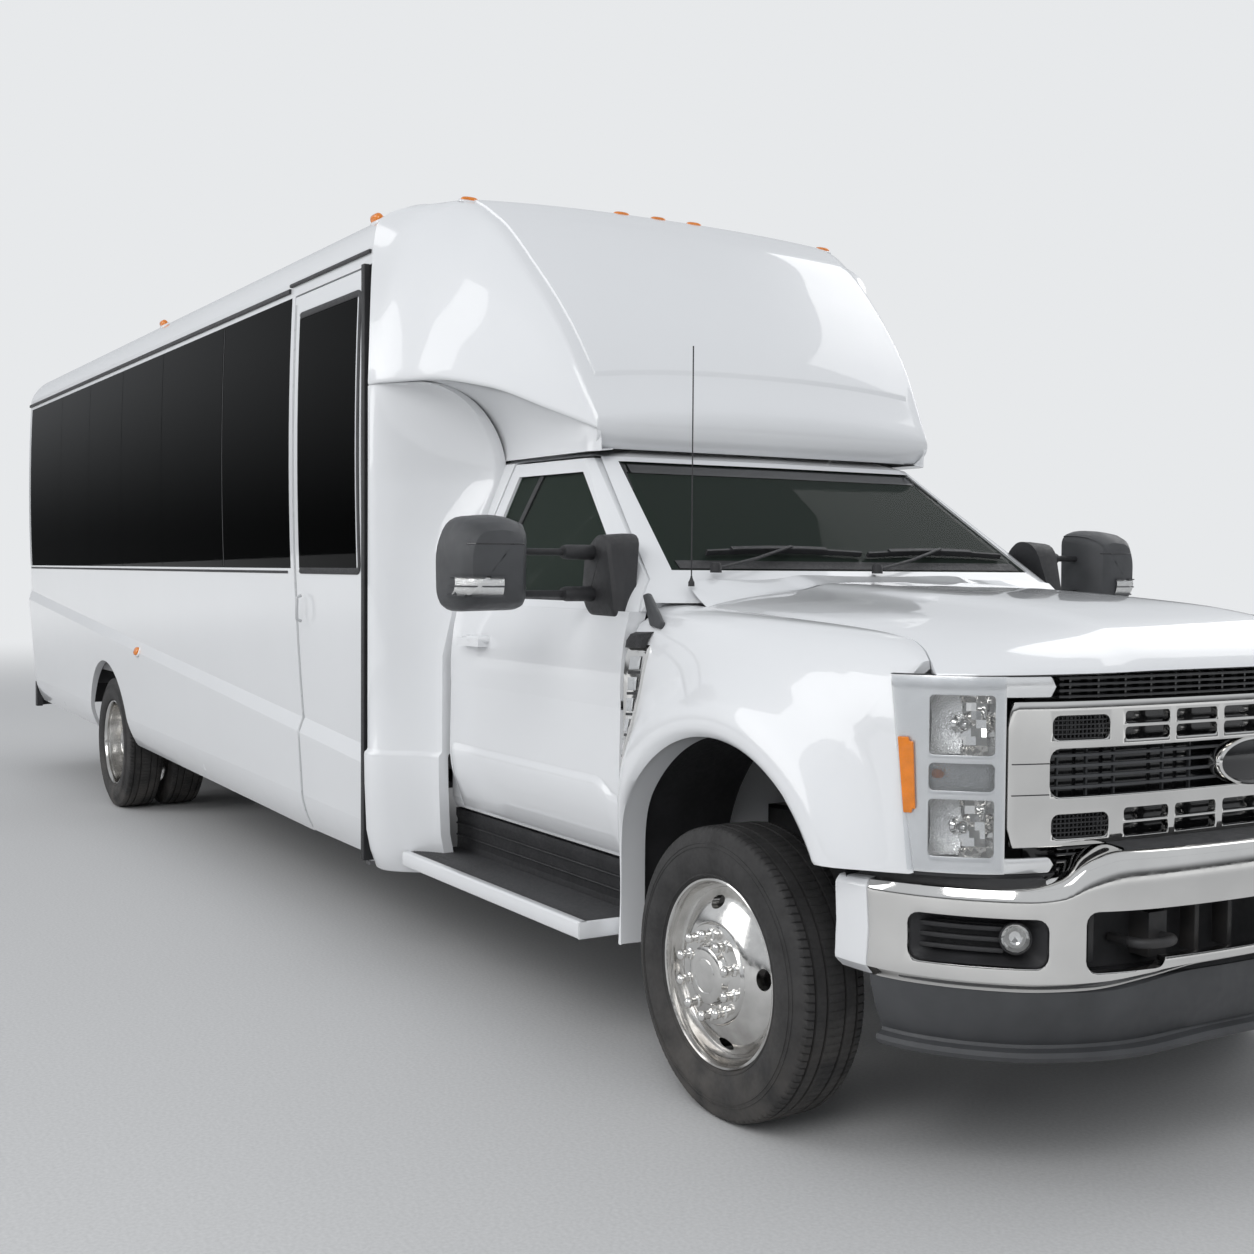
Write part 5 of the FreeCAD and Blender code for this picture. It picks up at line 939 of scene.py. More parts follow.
GRILLE_PLAN = ((0.929, 0), (0.928, 0.15), (0.924, 0.35), (0.912, 0.52), (0.895, 0.64), (0.876, 0.715),
               (0.858, 0.775), (0.850, 0.797))
GRILLE_LOW, GRILLE_TOP = 0.872, 1.222
SLOT_ROWS = (0.900, 0.939, 1.139, 1.178)
SLOT_STARTS = (0.142, 0.318)
MESH_ROWS, MESH_OUT = (0.919, 1.158), 0.604
# the badge: front face, height, half width and half height
BADGE_X, BADGE_Z, BADGE_WIDE, BADGE_TALL = 0.936, 1.047, 0.150, 0.064
# share of the badge's size, and how far forward the ring stands there
BADGE_RING = ((0.78, -0.012), (0.84, -0.004), (0.90, 0.004), (0.96, 0.002), (1.0, -0.010), (0.98, -0.030))


def grille():
    place = plan_curve(GRILLE_PLAN)
    half = place.length
    holes = [(0, 1.049, 1.39, 0.118, 0.028)]
    for side in (-1, 1):
        for v in MESH_ROWS:
            holes.append((side * MESH_OUT, v, 0.170, 0.060, 0.020))
        for v in SLOT_ROWS:
            for u in SLOT_STARTS:
                holes.append((side * (u + 0.076), v, 0.152, 0.031, 0.010))
    for v in SLOT_ROWS:
        holes.append((0, v, 0.232, 0.031, 0.010))

    def corner(u, w, v):
        """Draws the frame's ends in at their upper and lower corners."""
        draw = 0.014 * max(abs(v - 1.047) / 0.175 - 0.8, 0) / 0.2 * (abs(u) > half - 0.02)
        return u - math.copysign(draw, u), w, v

    vs = [GRILLE_LOW, 0.883, 0.92, 0.96, 0.985, 1.05, 1.113, 1.125, 1.16, 1.20, GRILLE_TOP]
    face = plate(np.linspace(-half, half, 90), vs, 0.022, holes)
    piece("grille_frame", laid(face, place, corner), "chrome", "chassis", 30, ["grille"])
    seams, slats, dark, mesh = [], [], [], []
    for side in (-1, 1):
        for v in (0.998, 1.073):
            line = np.linspace(*around(side * (half - 0.058), 0.05), 8)
            seams.append(strip(place, line, around(v, 0.0012), 0.004, 0))
    piece("grille_seams", moved(join(*seams), (0.0022, 0, 0)), "plastic")
    for v in (1.010, 1.036, 1.062, 1.088):
        slats.append(strip(place, np.linspace(-0.70, 0.70, 60), around(v, 0.0035), 0.014, 0.020, 0.001))
    for u in (-0.65, -0.56, -0.47, -0.3, -0.2, 0.2, 0.3, 0.47, 0.56, 0.65):
        slats.append(strip(place, around(u, 0.003), [0.98, 1.118], 0.008, 0.036))
    piece("grille_slats", join(*slats), "grey_plastic")
    for side in (-1, 1):
        for v in MESH_ROWS:
            for i in range(15):
                u = side * (MESH_OUT + (i - 7) * 0.0122)
                mesh.append(strip(place, around(u, 0.0017), around(v, 0.032), 0.006, 0.014))
            line = np.linspace(*around(side * MESH_OUT, 0.088), 8)
            for i in range(6):
                mesh.append(strip(place, line, around(v + (i - 2.5) * 0.0112, 0.0017), 0.006, 0.012))
    piece("grille_mesh", join(*mesh), "plastic", sharp=60)
    dark.append(strip(place, np.linspace(-0.73, 0.73, 40), [0.80, 1.282], 0.006, 0.062))
    for v in (0.815, 0.832, 0.849, 0.864, 1.232, 1.247, 1.262, 1.277):
        dark.append(strip(place, np.linspace(-0.665, 0.665, 50), around(v, 0.003), 0.030, 0.012, 0.001))
    for u in np.linspace(-0.62, 0.62, 15):
        for low, high in ((0.808, 0.870), (1.226, 1.282)):
            dark.append(strip(place, around(u, 0.003), [low, high], 0.02, 0.030))
    piece("grille_blades", join(*dark), "gloss_black")
    badge()


def badge():
    """The bare oval: its ring and its field, with no lettering."""
    turns = np.linspace(0, 2 * math.pi, 72, endpoint=False)

    def oval(a, share, x):
        return x, BADGE_WIDE * share * math.cos(a), BADGE_Z + BADGE_TALL * share * math.sin(a)

    ring = [[oval(a, share, BADGE_X + out) for share, out in BADGE_RING] for a in turns]
    piece("badge_ring", grid(ring, wrap=True), "chrome")
    field = [[oval(a, share, 0.927 + 0.006 * (1 - (share / 0.8) ** 2)) for a in turns]
             for share in np.linspace(0, 0.80, 12)]
    piece("badge_field", grid(field, closed=True), "gloss_black")


LAMP_PLAN = ((0.884, 0.672), (0.868, 0.735), (0.850, 0.787), (0.818, 0.843), (0.778, 0.891), (0.732, 0.933),
             (0.693, 0.961), (0.660, 0.982), (0.645, 0.990))
ARM_INNER, MAIN_INNER, BOWL_INNER, BOWL_OUTER = 0.672, 0.799, 0.822, 0.937
# the two bowls of a lamp: height of the middle, and how tall
BOWLS = ((0.917, 0.138), (1.165, 0.144))


def lamps():
    place = plan_curve(LAMP_PLAN)
    arm_in, inner, bowl_in, bowl_out = map(place.reach, (ARM_INNER, MAIN_INNER, BOWL_INNER, BOWL_OUTER))
    outer = place.length
    middle, wide = (bowl_in + bowl_out) / 2, bowl_out - bowl_in

    def slant(u, w, v):
        """The lamp's outer edge leans back with the fender's."""
        share = min(max((u - bowl_out) / (outer - bowl_out), 0), 1)
        return u - share * 0.048 * (LAMP_TOP - v) / 0.48, w, v

    def fitted(rows, closed=False):
        return laid(grid(rows, closed), place, slant)

    vs = [0.808, 0.855, 0.925, 0.995, 1.04, 1.083, 1.165, 1.245, 1.283]
    holes = [(middle, v, wide, h, 0.010) for v, h in BOWLS] + [(middle, 1.040, wide, 0.066, 0.012)]
    main = laid(plate(list(np.linspace(inner, outer, 34)), vs, 0.010, holes, 0.0025), place, slant)
    arms = []
    for low, high in ((0.808, 0.846), (1.232, 1.283)):
        level, tall = (low + high) / 2, (high - low) / 2
        line = np.linspace(arm_in + 0.002, inner + 0.004, 14)
        points, faces = plate(line, [low, level, high], 0.012, (), 0.004)
        points = [(u + 0.018 * max(1 - (u - arm_in) / 0.03, 0) * abs((v - level) / tall) ** 2, w, v)
                  for u, w, v in points]
        arms.append(laid((points, faces), place))
    piece("lamp_frames", both_sides(join(main, *arms)), "satin", "chassis", 30, ["headlamps"])
    lamp_bowls(place, fitted, middle, wide)
    signals(place, fitted, bowl_in, bowl_out)
    rows = [[(u, 0.006, v) for v in np.linspace(0.812, 1.280, 24)]
            for u in np.linspace(inner + 0.004, outer - 0.004, 30)]
    piece("lamp_covers", both_sides(fitted(rows)), "clear", sharp=80)
    us = np.linspace(place.reach(0.9615), place.reach(0.9855), 10)

    def notch(u, w, v):
        """Stands the marker proud, with its inner corners drawn in."""
        corner = (u < us[3]) * (abs(v - 1.042) > 0.085)
        return slant(u, w + 0.013, v - 0.010 * corner * math.copysign(1, v - 1.042))

    marker = plate(us, np.linspace(0.950, 1.134, 12), 0.010, (), 0.003)
    piece("lamp_markers", both_sides(laid(marker, place, notch)), "amber", sharp=40)
    line = np.linspace(arm_in, outer, 40)
    below = ((-0.012, 0.800), (0.000, 0.800), (0.000, 0.807), (-0.012, 0.807))
    above = ((-0.02, 1.2835), (-0.002, 1.2835), (-0.002, 1.2855), (-0.02, 1.2855))
    seals = [fitted([[(u, w, v) for w, v in ring] for u in line], closed=True) for ring in (below, above)]
    piece("lamp_gaskets", both_sides(join(*seals)), "plastic")


def lamp_bowls(place, fitted, middle, wide):
    """In each bowl a faceted inner half, a smooth outer half and a bulb."""
    facets, pebbled, bulbs = [], [], []
    for level, high in BOWLS:
        rows = []
        for i, a in enumerate(np.linspace(-1, 0.05, 7)):
            row = []
            for j, b in enumerate(np.linspace(-1, 1, 8)):
                deep = 0.058 * math.sqrt(max(1 - 0.62 * a * a - 0.36 * b * b, 0.02))
                deep *= 0.80 + 0.20 * ((i * 3 + j * 5) % 4) / 3
                deep = 0.006 if abs(a) == 1 or abs(b) == 1 else deep
                row.append((middle + a * wide / 2, -deep, level + b * high / 2))
            rows.append(row)
        facets.append(fitted(rows))
        rows = []
        for a in np.linspace(0.0, 1, 12):
            row = []
            for b in np.linspace(-1, 1, 16):
                deep = 0.052 * math.sqrt(max(1 - 0.75 * (a - 0.1) ** 2 - 0.55 * b * b, 0))
                row.append((middle + a * wide / 2, -max(deep, 0.006), level + b * high / 2))
            rows.append(row)
        pebbled.append(fitted(rows))
        bulb = lathe(((0.0001, 0.040), (0.010, 0.038), (0.016, 0.030), (0.018, 0.020), (0.014, 0.008),
                      (0.020, 0.0)), 28, "x")
        bulbs.append(moved(bulb, place(middle + 0.012, level, -0.045)))
    piece("lamp_facets", both_sides(join(*facets)), "chrome", sharp=1)
    piece("lamp_bowls", both_sides(join(*pebbled)), "pebbled", sharp=60)
    piece("lamp_bulbs", both_sides(join(*bulbs)), "chrome")


def signals(place, fitted, bowl_in, bowl_out):
    """The turn signal between the bowls: its back, its bulb and its ribbed lens."""
    back = [[(u, -0.03, v) for v in (1.000, 1.080)] for u in np.linspace(bowl_in - 0.01, bowl_out + 0.01, 14)]
    piece("signal_backs", both_sides(fitted(back)), "pebbled")
    bulb = lathe(((0.0001, 0.016), (0.008, 0.013), (0.011, 0.005), (0.011, -0.010)), 20, "x")
    piece("signal_bulbs", both_sides(moved(bulb, place(bowl_out - 0.02, 1.045, -0.018))), "amber")
    ribs = [[(u, -0.004 + 0.0025 * (i % 2), v) for v in np.linspace(1.005, 1.075, 9)]
            for i, u in enumerate(np.linspace(bowl_in, bowl_out, 60))]
    piece("signal_lenses", both_sides(fitted(ribs)), "clear", sharp=80)


BUMPER_PLAN = ((1.056, 0), (1.053, 0.20), (1.042, 0.38), (1.022, 0.52), (0.994, 0.62), (0.955, 0.71),
               (0.900, 0.80), (0.820, 0.882), (0.735, 0.943), (0.650, 0.984), (0.560, 1.005), (0.470, 1.010))
BUMPER_LOW, BUMPER_TOP = 0.530, 0.760
# out from the middle, and how much higher the top and the lower edge stand there
BUMPER_CREST = ((0, 0.088), (0.56, 0.088), (0.66, 0.066), (0.73, 0.026), (0.80, 0.016), (1.10, 0.014),
                (1.4, 0.0))
BUMPER_SILL = ((0, 0.046), (0.30, 0.044), (0.50, 0.022), (0.65, 0.004), (0.80, 0.0), (1.4, 0.0))
CAP_START = 1.205
# the air dam's section: out from the bumper's plan, and height
DAM = ((-0.055, 0.545), (-0.030, 0.528), (-0.033, 0.505), (-0.050, 0.452), (-0.072, 0.402), (-0.080, 0.388),
       (-0.076, 0.380), (-0.058, 0.374), (-0.055, 0.362), (-0.060, 0.352), (-0.070, 0.346), (-0.11, 0.346),
       (-0.11, 0.40))


def smooth_step(t):
    t = min(max(t, 0), 1)
    return t * t * (3 - 2 * t)


def bumper_form(u, w, v):
    """Presses the flat bumper: a swept top, a raised sill, and edges that turn back."""
    a = abs(u)
    roll = 0.026 * smooth_step((0.565 - v) / 0.035) ** 1.5 + 0.010 * smooth_step((v - 0.745) / 0.015)
    crest = table(BUMPER_CREST, a) * smooth_step((v - 0.735) / 0.022)
    sill = table(BUMPER_SILL, a) * smooth_step((0.59 - v) / 0.05)
    lean = -0.075 * (v - 0.645) * smooth_step((a - 1.0) / 0.2)
    return u + math.copysign(lean, u), w - roll, v + crest + sill


def bumper():
    place = plan_curve(BUMPER_PLAN)
    end = place.length
    vs = [BUMPER_LOW, 0.538, 0.546, 0.556, 0.568, 0.585, 0.61, 0.65, 0.70, 0.73, 0.738, 0.745, 0.750, 0.755,
          BUMPER_TOP]
    fog_in, fog_out = place.reach(0.742), place.reach(0.966)
    fog, fog_wide = 0.5 * (fog_in + fog_out), fog_out - fog_in
    holes, more, caps, filler = [], [], [], []
    for side in (-1, 1):
        holes.append((side * fog, 0.652, fog_wide, 0.118, 0.030))
        holes.append((side * 0.560, 0.6545, 0.220, 0.147, 0.030))
        more.append((side * 0.275, 0.6680, 0.450, 0.120, 0.026))
        line = side * np.linspace(CAP_START + 0.004, end - 0.002, 26)
        caps.append(laid(plate(line, vs, 0.030, (), 0.005), place, bumper_form))
        line = np.linspace(side * 0.76, side * (end - 0.05), 24)
        filler.append(strip(place, line, [0.764, 0.800], 0.05, 0.035))
    face = plate(np.linspace(-CAP_START, CAP_START, 150), vs, 0.030, holes, 0.004, more)
    piece("bumper_face", laid(face, place, bumper_form), "chrome", "chassis", 30, ["front_bumper"])
    piece("bumper_caps", join(*caps), "paint", "chassis", 30)
    middle, tail = [], []
    for share, u in zip(np.linspace(-1, 1, 160), np.linspace(-end + 0.003, end - 0.003, 160)):
        top = bumper_form(u, 0, BUMPER_TOP)
        rise = 0.016 * smooth_step((0.9 - abs(u)) / 0.3) + 0.003
        profile = ((0, 0), (-0.004, rise * 0.5), (-0.016, rise), (-0.060, rise + 0.004),
                   (-0.150, rise + 0.004))
        row = [place(top[0], top[2] + z, top[1] + w) for w, z in profile]
        if abs(share) * end < CAP_START:
            middle.append(row)
        if share * end >= CAP_START - 0.01:
            tail.append(row)
    piece("bumper_shelf", grid(middle), "chrome", "chassis", 40)
    piece("bumper_cap_tops", both_sides(grid(tail)), "paint", "chassis", 40)
    pad_rows = []
    for u in np.linspace(-0.555, 0.555, 38):
        level = bumper_form(u, 0, BUMPER_TOP)[2] + 0.0225
        row = [(-0.030, level - 0.004)]
        for i in range(12):
            w = -0.034 - 0.0085 * i
            row += [(w, level + 0.002), (w - 0.003, level + 0.0045), (w - 0.0055, level + 0.002)]
        pad_rows.append([place(u, z, w) for w, z in row + [(-0.140, level - 0.004)]])
    piece("bumper_step_pad", grid(pad_rows), "plastic", sharp=25)
    piece("bumper_filler", join(*filler), "plastic")
    fog_lamps(place, fog - fog_wide / 2 - 0.005, fog + fog_wide / 2 + 0.005)
    cave = [[place(u, v, w) for w, v in ((-0.026, 0.560), (-0.12, 0.565), (-0.13, 0.60), (-0.13, 0.78),
                                         (-0.026, 0.80))] for u in np.linspace(-0.70, 0.70, 40)]
    piece("bumper_core", grid(cave), "plastic", sharp=20)
    tow_hooks(place)
    rows = []
    for u in np.linspace(-end + 0.10, end - 0.10, 120):
        raised = 0.030 * smooth_step((0.62 - abs(u)) / 0.3)
        lip = 0.012 * smooth_step((0.5 - abs(u)) / 0.3)
        rows.append([place(u, z + raised * (z > 0.5) + lip * (z < 0.39), w) for w, z in DAM])
    piece("air_dam_skin", grid(rows), "grey_plastic", "chassis", 30, ["air_dam"])


def fog_lamps(place, start, end):
    """A ribbed pocket from start to end along the bumper, and a round lamp in its inner part."""
    rows = []
    for u in np.linspace(start, end, 28):
        t = (u - start) / (end - start)
        row = []
        for v in np.linspace(0.590, 0.714, 14):
            q = (v - 0.590) / 0.124
            deep = 0.046 * min(1, min(t, 1 - t) * 7) * min(1, min(q, 1 - q) * 5) + 0.004
            row.append((u, -0.012 - deep, v))
        rows.append(row)
    ribs = [strip(place, np.linspace(start + 0.11, end - 0.015, 10), around(v, 0.006), 0.02, 0.036, 0.003,
                  bumper_form) for v in (0.626, 0.652, 0.678)]
    piece("fog_pockets", both_sides(join(laid(grid(rows), place, bumper_form), *ribs)), "plastic", sharp=40)
    lamp_u, lamp_v = start + 0.082, 0.660
    out = Vector(place(lamp_u, lamp_v, 1.0)) - Vector(place(lamp_u, lamp_v, 0.0))
    turn = Vector((1, 0, 0)).rotation_difference(out.normalized()).to_matrix()
    shell = ((0.0001, 0.0), (0.034, 0.004), (0.0385, 0.012), (0.0385, 0.026), (0.036, 0.028), (0.034, 0.024))
    bowl = ((0.0001, 0.006), (0.014, 0.008), (0.026, 0.014), (0.034, 0.022))
    cover = ((0.0001, 0.032), (0.014, 0.031), (0.026, 0.028), (0.0345, 0.023))
    for name, profile, steps, finish, sharp in (("fog_shells", shell, 40, "plastic", 35),
                                                ("fog_bowls", bowl, 14, "chrome", 5),
                                                ("fog_lenses", cover, 40, "clear", 35)):
        form = moved(lathe(profile, steps, "x"), place(lamp_u, lamp_v, -0.046), turn)
        piece(name, both_sides(form), finish, sharp=sharp)


def tow_hooks(place):
    """A bent bar in each side opening, and the brackets behind."""
    hooks = []
    for u in (0.395, 0.52):
        leg = [place(u, z, w) for w, z in ((-0.12, 0.635), (-0.07, 0.637), (-0.045, 0.640))]
        hooks.append(tube(leg, 0.013))
    bend = [place(0.4575 + 0.0625 * math.cos(a), 0.640, -0.045 + 0.034 * math.sin(a))
            for a in np.linspace(math.pi, 0, 15)]
    hooks.append(tube(bend, 0.013))
    for u in (0.15, 0.27, 0.60):
        hooks.append(moved(strip(place, around(u, 0.008), [0.59, 0.75], 0.05, 0, 0.003), (-0.07, 0, 0)))
    piece("tow_hooks", both_sides(join(*hooks)), "chassis")


# Cab: mirrors, door trim, windshield, vents, antenna and steps


def probe(node, start, way):
    """Where a ray in front-axle metres meets a node or piece, and the surface's normal there."""
    obj = NODES.get(node) or bpy.data.objects[node]
    back = obj.matrix_world.inverted()
    a, b = back @ at(*start), back @ (at(*start) + Vector(way))
    hit, spot, normal, _ = obj.ray_cast(a, (b - a).normalized())
    if not hit:
        return None
    spot = obj.matrix_world @ spot
    return Vector((spot.x - AXLE_X, spot.y, spot.z)), (obj.matrix_world.to_3x3() @ normal).normalized()


def side_probe(node, side, x, z):
    """Where a ray from beside the vehicle meets a node or piece."""
    return probe(node, (x, side * 2.2, z), (0, -side, 0))


def ribbon(line, wide, tall, ends=True):
    """A low bar along points with normals: wide across and tall above the surface."""
    rows = []
    for i, (spot, normal) in enumerate(line):
        ahead = (line[min(i + 1, len(line) - 1)][0] - line[max(i - 1, 0)][0]).normalized()
        side = ahead.cross(normal).normalized() * wide / 2
        rise = normal * tall
        low = -normal * 0.002
        rows.append([spot - side + low, spot - side + rise * 0.7, spot - side * 0.8 + rise,
                     spot + side * 0.8 + rise, spot + side + rise * 0.7, spot + side + low])
    return shell_of(rows) if ends else grid(rows, closed=True)


def on_side(node, spots, side, steps=1):
    """Points (along, height) joined by straight lines and laid on a node's outer side."""
    line = []
    for a, b in zip(spots, spots[1:]):
        for t in np.linspace(0, 1, steps, endpoint=False):
            line.append((a[0] + (b[0] - a[0]) * t, a[1] + (b[1] - a[1]) * t))
    line.append(spots[-1])
    found = [side_probe(node, side, x, z) for x, z in line]
    return [f for f in found if f]


def round_corners(corners, steps=5):
    """Corners (u, v, radius) made into a smooth outline."""
    out = []
    n = len(corners)
    for i, (u, v, r) in enumerate(corners):
        p = Vector((u, v))
        a = Vector(corners[i - 1][:2]) - p
        b = Vector(corners[(i + 1) % n][:2]) - p
        start, end = p + a.normalized() * r, p + b.normalized() * r
        for t in np.linspace(0, 1, steps):
            q = start * (1 - t) ** 2 + p * 2 * t * (1 - t) + end * t * t
            out.append((q.x, q.y))
    return out


MIRROR_OUTLINE = round_corners(((1.238, 1.400, 0.030), (1.462, 1.396, 0.035), (1.494, 1.440, 0.030),
                                (1.497, 1.600, 0.05), (1.455, 1.690, 0.045), (1.300, 1.704, 0.06),
                                (1.236, 1.672, 0.03)))
MIRROR_Y, MIRROR_Z = 1.365, 1.55
# along, and the share of the outline's size there, from the glass forward
MIRROR_RINGS = ((-0.905, 0.985), (-0.900, 1.0), (-0.868, 1.0), (-0.830, 0.985), (-0.785, 0.93),
                (-0.748, 0.82), (-0.728, 0.66), (-0.722, 0.45), (-0.7215, 0.2), (-0.7215, 0.02))


def mirror_ring(x, wide, tall):
    """The mirror's outline at x, at a share of its width and height."""
    return [(x, MIRROR_Y + (y - MIRROR_Y) * wide, MIRROR_Z + (z - MIRROR_Z) * tall)
            for y, z in MIRROR_OUTLINE]


def mirrors():
    for name, side in SIDES:
        body, head = "cab_door_" + name, "mirror_head_" + name
        turn = handed(side)
        rings = [mirror_ring(x, size, size) for x, size in MIRROR_RINGS]
        piece(head, turn(shell_of(rings)), "grey_plastic", body, 28, ["mirror_" + name])

        def front(y, z):
            return probe(head, (0, side * y, z), (-1, 0, 0))

        split = [front(y, 1.606) for y in np.linspace(1.272, 1.462, 26)]
        piece("mirror_seam_" + name, ribbon([p for p in split if p], 0.004, 0.0008), "gloss_black", body)
        lens, rims = [], []
        for y in np.linspace(1.350, 1.486, 18):
            row = []
            for z in np.linspace(1.450, 1.504, 9):
                spot = front(y, z)[0]
                row.append((spot.x + 0.001 + 0.005 * (1 - ((z - 1.477) / 0.027) ** 4), spot.y, z))
            lens.append(row)
        piece("mirror_lamp_" + name, grid(lens), "pebbled", body)
        for z in (1.4485, 1.477, 1.5055):
            rims.append(ribbon([front(y, z) for y in np.linspace(1.346, 1.489, 18)], 0.0045, 0.0085))
        piece("mirror_lamp_rims_" + name, join(*rims), "grey_plastic", body)
        rows = [mirror_ring(-0.9055, 0.90 * k, 0.93 * k) for k in (0.02, 0.5, 0.96, 1.0)]
        piece("mirror_glass_" + name, turn(grid(rows, closed=True)), "chrome", body)
        arms = []
        for z in (1.585, 1.452):
            arms.append(tube([(-0.800, 0.990, z), (-0.815, 1.10, z), (-0.835, 1.25, z)], 0.0115, 20))
            sleeve = [[(-0.797 - 0.10 * (y - 0.99) - 0.03 * math.cos(a) * k, y, z + 0.024 * math.sin(a) * k)
                       for a in np.linspace(0, 2 * math.pi, 20, endpoint=False)]
                      for y, k in ((0.985, 0.8), (1.000, 1.0), (1.085, 1.0), (1.098, 0.86), (1.099, 0.4))]
            arms.append(shell_of(sleeve))
        piece("mirror_arms_" + name, turn(join(*arms)), "plastic", body, 40)
        sail = []
        outline = round_corners(((-0.640, 1.372, 0.02), (-0.700, 1.640, 0.05), (-0.780, 1.650, 0.03),
                                 (-0.855, 1.600, 0.04), (-0.880, 1.430, 0.05), (-0.830, 1.375, 0.03)))
        for y, k in ((0.930, 1.0), (0.965, 1.0), (0.985, 0.96), (0.996, 0.86), (0.999, 0.6)):
            lean = 0.30 * (y < 0.97)
            sail.append([(-0.765 + (x + 0.765) * k, y - lean * max(z - 1.45, 0), 1.50 + (z - 1.50) * k)
                         for x, z in outline])
        piece("mirror_sail_" + name, turn(shell_of(sail)), "plastic", body, 35)


# the raised band low on the door: height, and how far it stands out
DOOR_BAND = ((0.878, 0.0), (0.868, 0.002), (0.856, 0.0075), (0.84, 0.010), (0.76, 0.0105), (0.68, 0.008),
             (0.645, 0.005), (0.632, 0.0))
DOOR_REAR, DOOR_FRONT = -1.812, -0.592


def door_trim():
    for name, side in SIDES:
        node = "cab_door_" + name
        rows = []
        for x in np.linspace(DOOR_REAR, DOOR_FRONT, 40):
            row = []
            fall = 0.050 * smooth_step((x + 0.72) / 0.13)
            fade = smooth_step((x - DOOR_REAR) / 0.02) * smooth_step((DOOR_FRONT - x) / 0.02)
            for z, out in DOOR_BAND:
                level = z - fall * (z - 0.632) / 0.246
                found = side_probe(node, side, x, level)
                y = found[0].y if found and abs(found[0].y) > 0.9 else side * 1.004
                row.append((x, y + side * (out * fade + 0.0008), level))
            rows.append(row)
        piece("door_band_" + name, grid(rows), "paint", node, 60)
        grab = tube([(-1.672, side * 1.006, 1.272), (-1.662, side * 1.034, 1.272),
                     (-1.60, side * 1.038, 1.273), (-1.53, side * 1.034, 1.274),
                     (-1.520, side * 1.006, 1.274)], 0.0145, 16)
        piece("door_handle_" + name, grab, "paint", node, 50)
        belt = on_side("cab_glass_" + name, ((-1.735, 1.432), (-0.78, 1.432)), side, 24)
        piece("window_belt_" + name, ribbon(belt, 0.020, 0.006), "plastic", node)
        post = on_side("cab_glass_" + name, ((-1.640, 1.43), (-1.560, 1.872)), side, 14)
        piece("quarter_bar_" + name, ribbon(post, 0.028, 0.004), "plastic", node)


def on_windshield(spots):
    """Points (out, height) laid on the windshield from in front."""
    found = [probe("windshield", (1.2, y, z), (-1, 0, 0)) for y, z in spots]
    return [f for f in found if f]


def windshield_trim():
    header = on_windshield([(y, 1.886) for y in np.linspace(-0.71, 0.71, 40)])
    piece("windshield_band", ribbon(header, 0.060, 0.0012), "gloss_black")
    foot = on_windshield([(y, 1.548) for y in np.linspace(-0.79, 0.79, 40)])
    piece("windshield_foot", ribbon(foot, 0.045, 0.002), "plastic")
    edges = []
    for side in (-1, 1):
        line = on_windshield([(side * (0.800 - 0.135 * t), 1.54 + 0.36 * t) for t in np.linspace(0, 1, 16)])
        edges.append(ribbon(line, 0.022, 0.003))
    piece("windshield_edges", join(*edges), "plastic")
    parts = []
    for start, tip in ((-0.62, 0.02), (0.05, 0.70)):
        blade = on_windshield([(start + (tip - start) * t, 1.575 + 0.010 * math.sin(3 * t))
                               for t in np.linspace(0, 1, 14)])
        parts.append(ribbon([(spot + normal * 0.010, normal) for spot, normal in blade], 0.011, 0.016))
        parts.append(ribbon([(spot + normal * 0.026, normal) for spot, normal in blade[2:-3]], 0.018, 0.006))
        spot, normal = blade[len(blade) // 2]
        elbow = spot + normal * 0.034
        base = Vector((-0.585, start - 0.04, 1.535))
        parts.append(tube([base, (base + elbow) / 2 + Vector((0.01, 0, -0.004)), elbow], 0.006))
        hub = lathe(((0.0001, 0.022), (0.014, 0.020), (0.018, 0.010), (0.019, -0.012)), 20, "z")
        parts.append(moved(hub, base))
    piece("wipers", join(*parts), "plastic", sharp=40)


def antenna():
    x, y = -0.516, -0.800
    piece("antenna_mast", tube([(x, y, 1.500), (x, y, 1.75), (x, y, 2.226)], 0.0022, 10), "plastic")
    foot = lathe(((0.0001, 0.024), (0.003, 0.022), (0.004, 0.016), (0.007, 0.008), (0.010, 0.003),
                  (0.010, -0.010)), 24, "z")
    piece("antenna_foot", moved(foot, (x, y, 1.490)), "plastic")


# height, and where the vent's front edge is there
VENT_EDGE = ((0.905, -0.545), (0.935, -0.518), (1.08, -0.484), (1.22, -0.462), (1.285, -0.456),
             (1.302, -0.462))
VENT_REAR, VENT_LOW, VENT_TOP = -0.5695, 0.905, 1.302
VENT_SHARES = (0.0, 0.04, 0.12, 0.2, 0.3, 0.4, 0.5, 0.6, 0.7, 0.8, 0.9, 0.96, 1.0)


def fender_face(x, z, out):
    """A point standing out from the left fender's skin at x, z."""
    hit = probe("fender_skins", (x, 2.2, z), (0, -1, 0))
    return x, (hit[0].y if hit else 1.004) + out, z


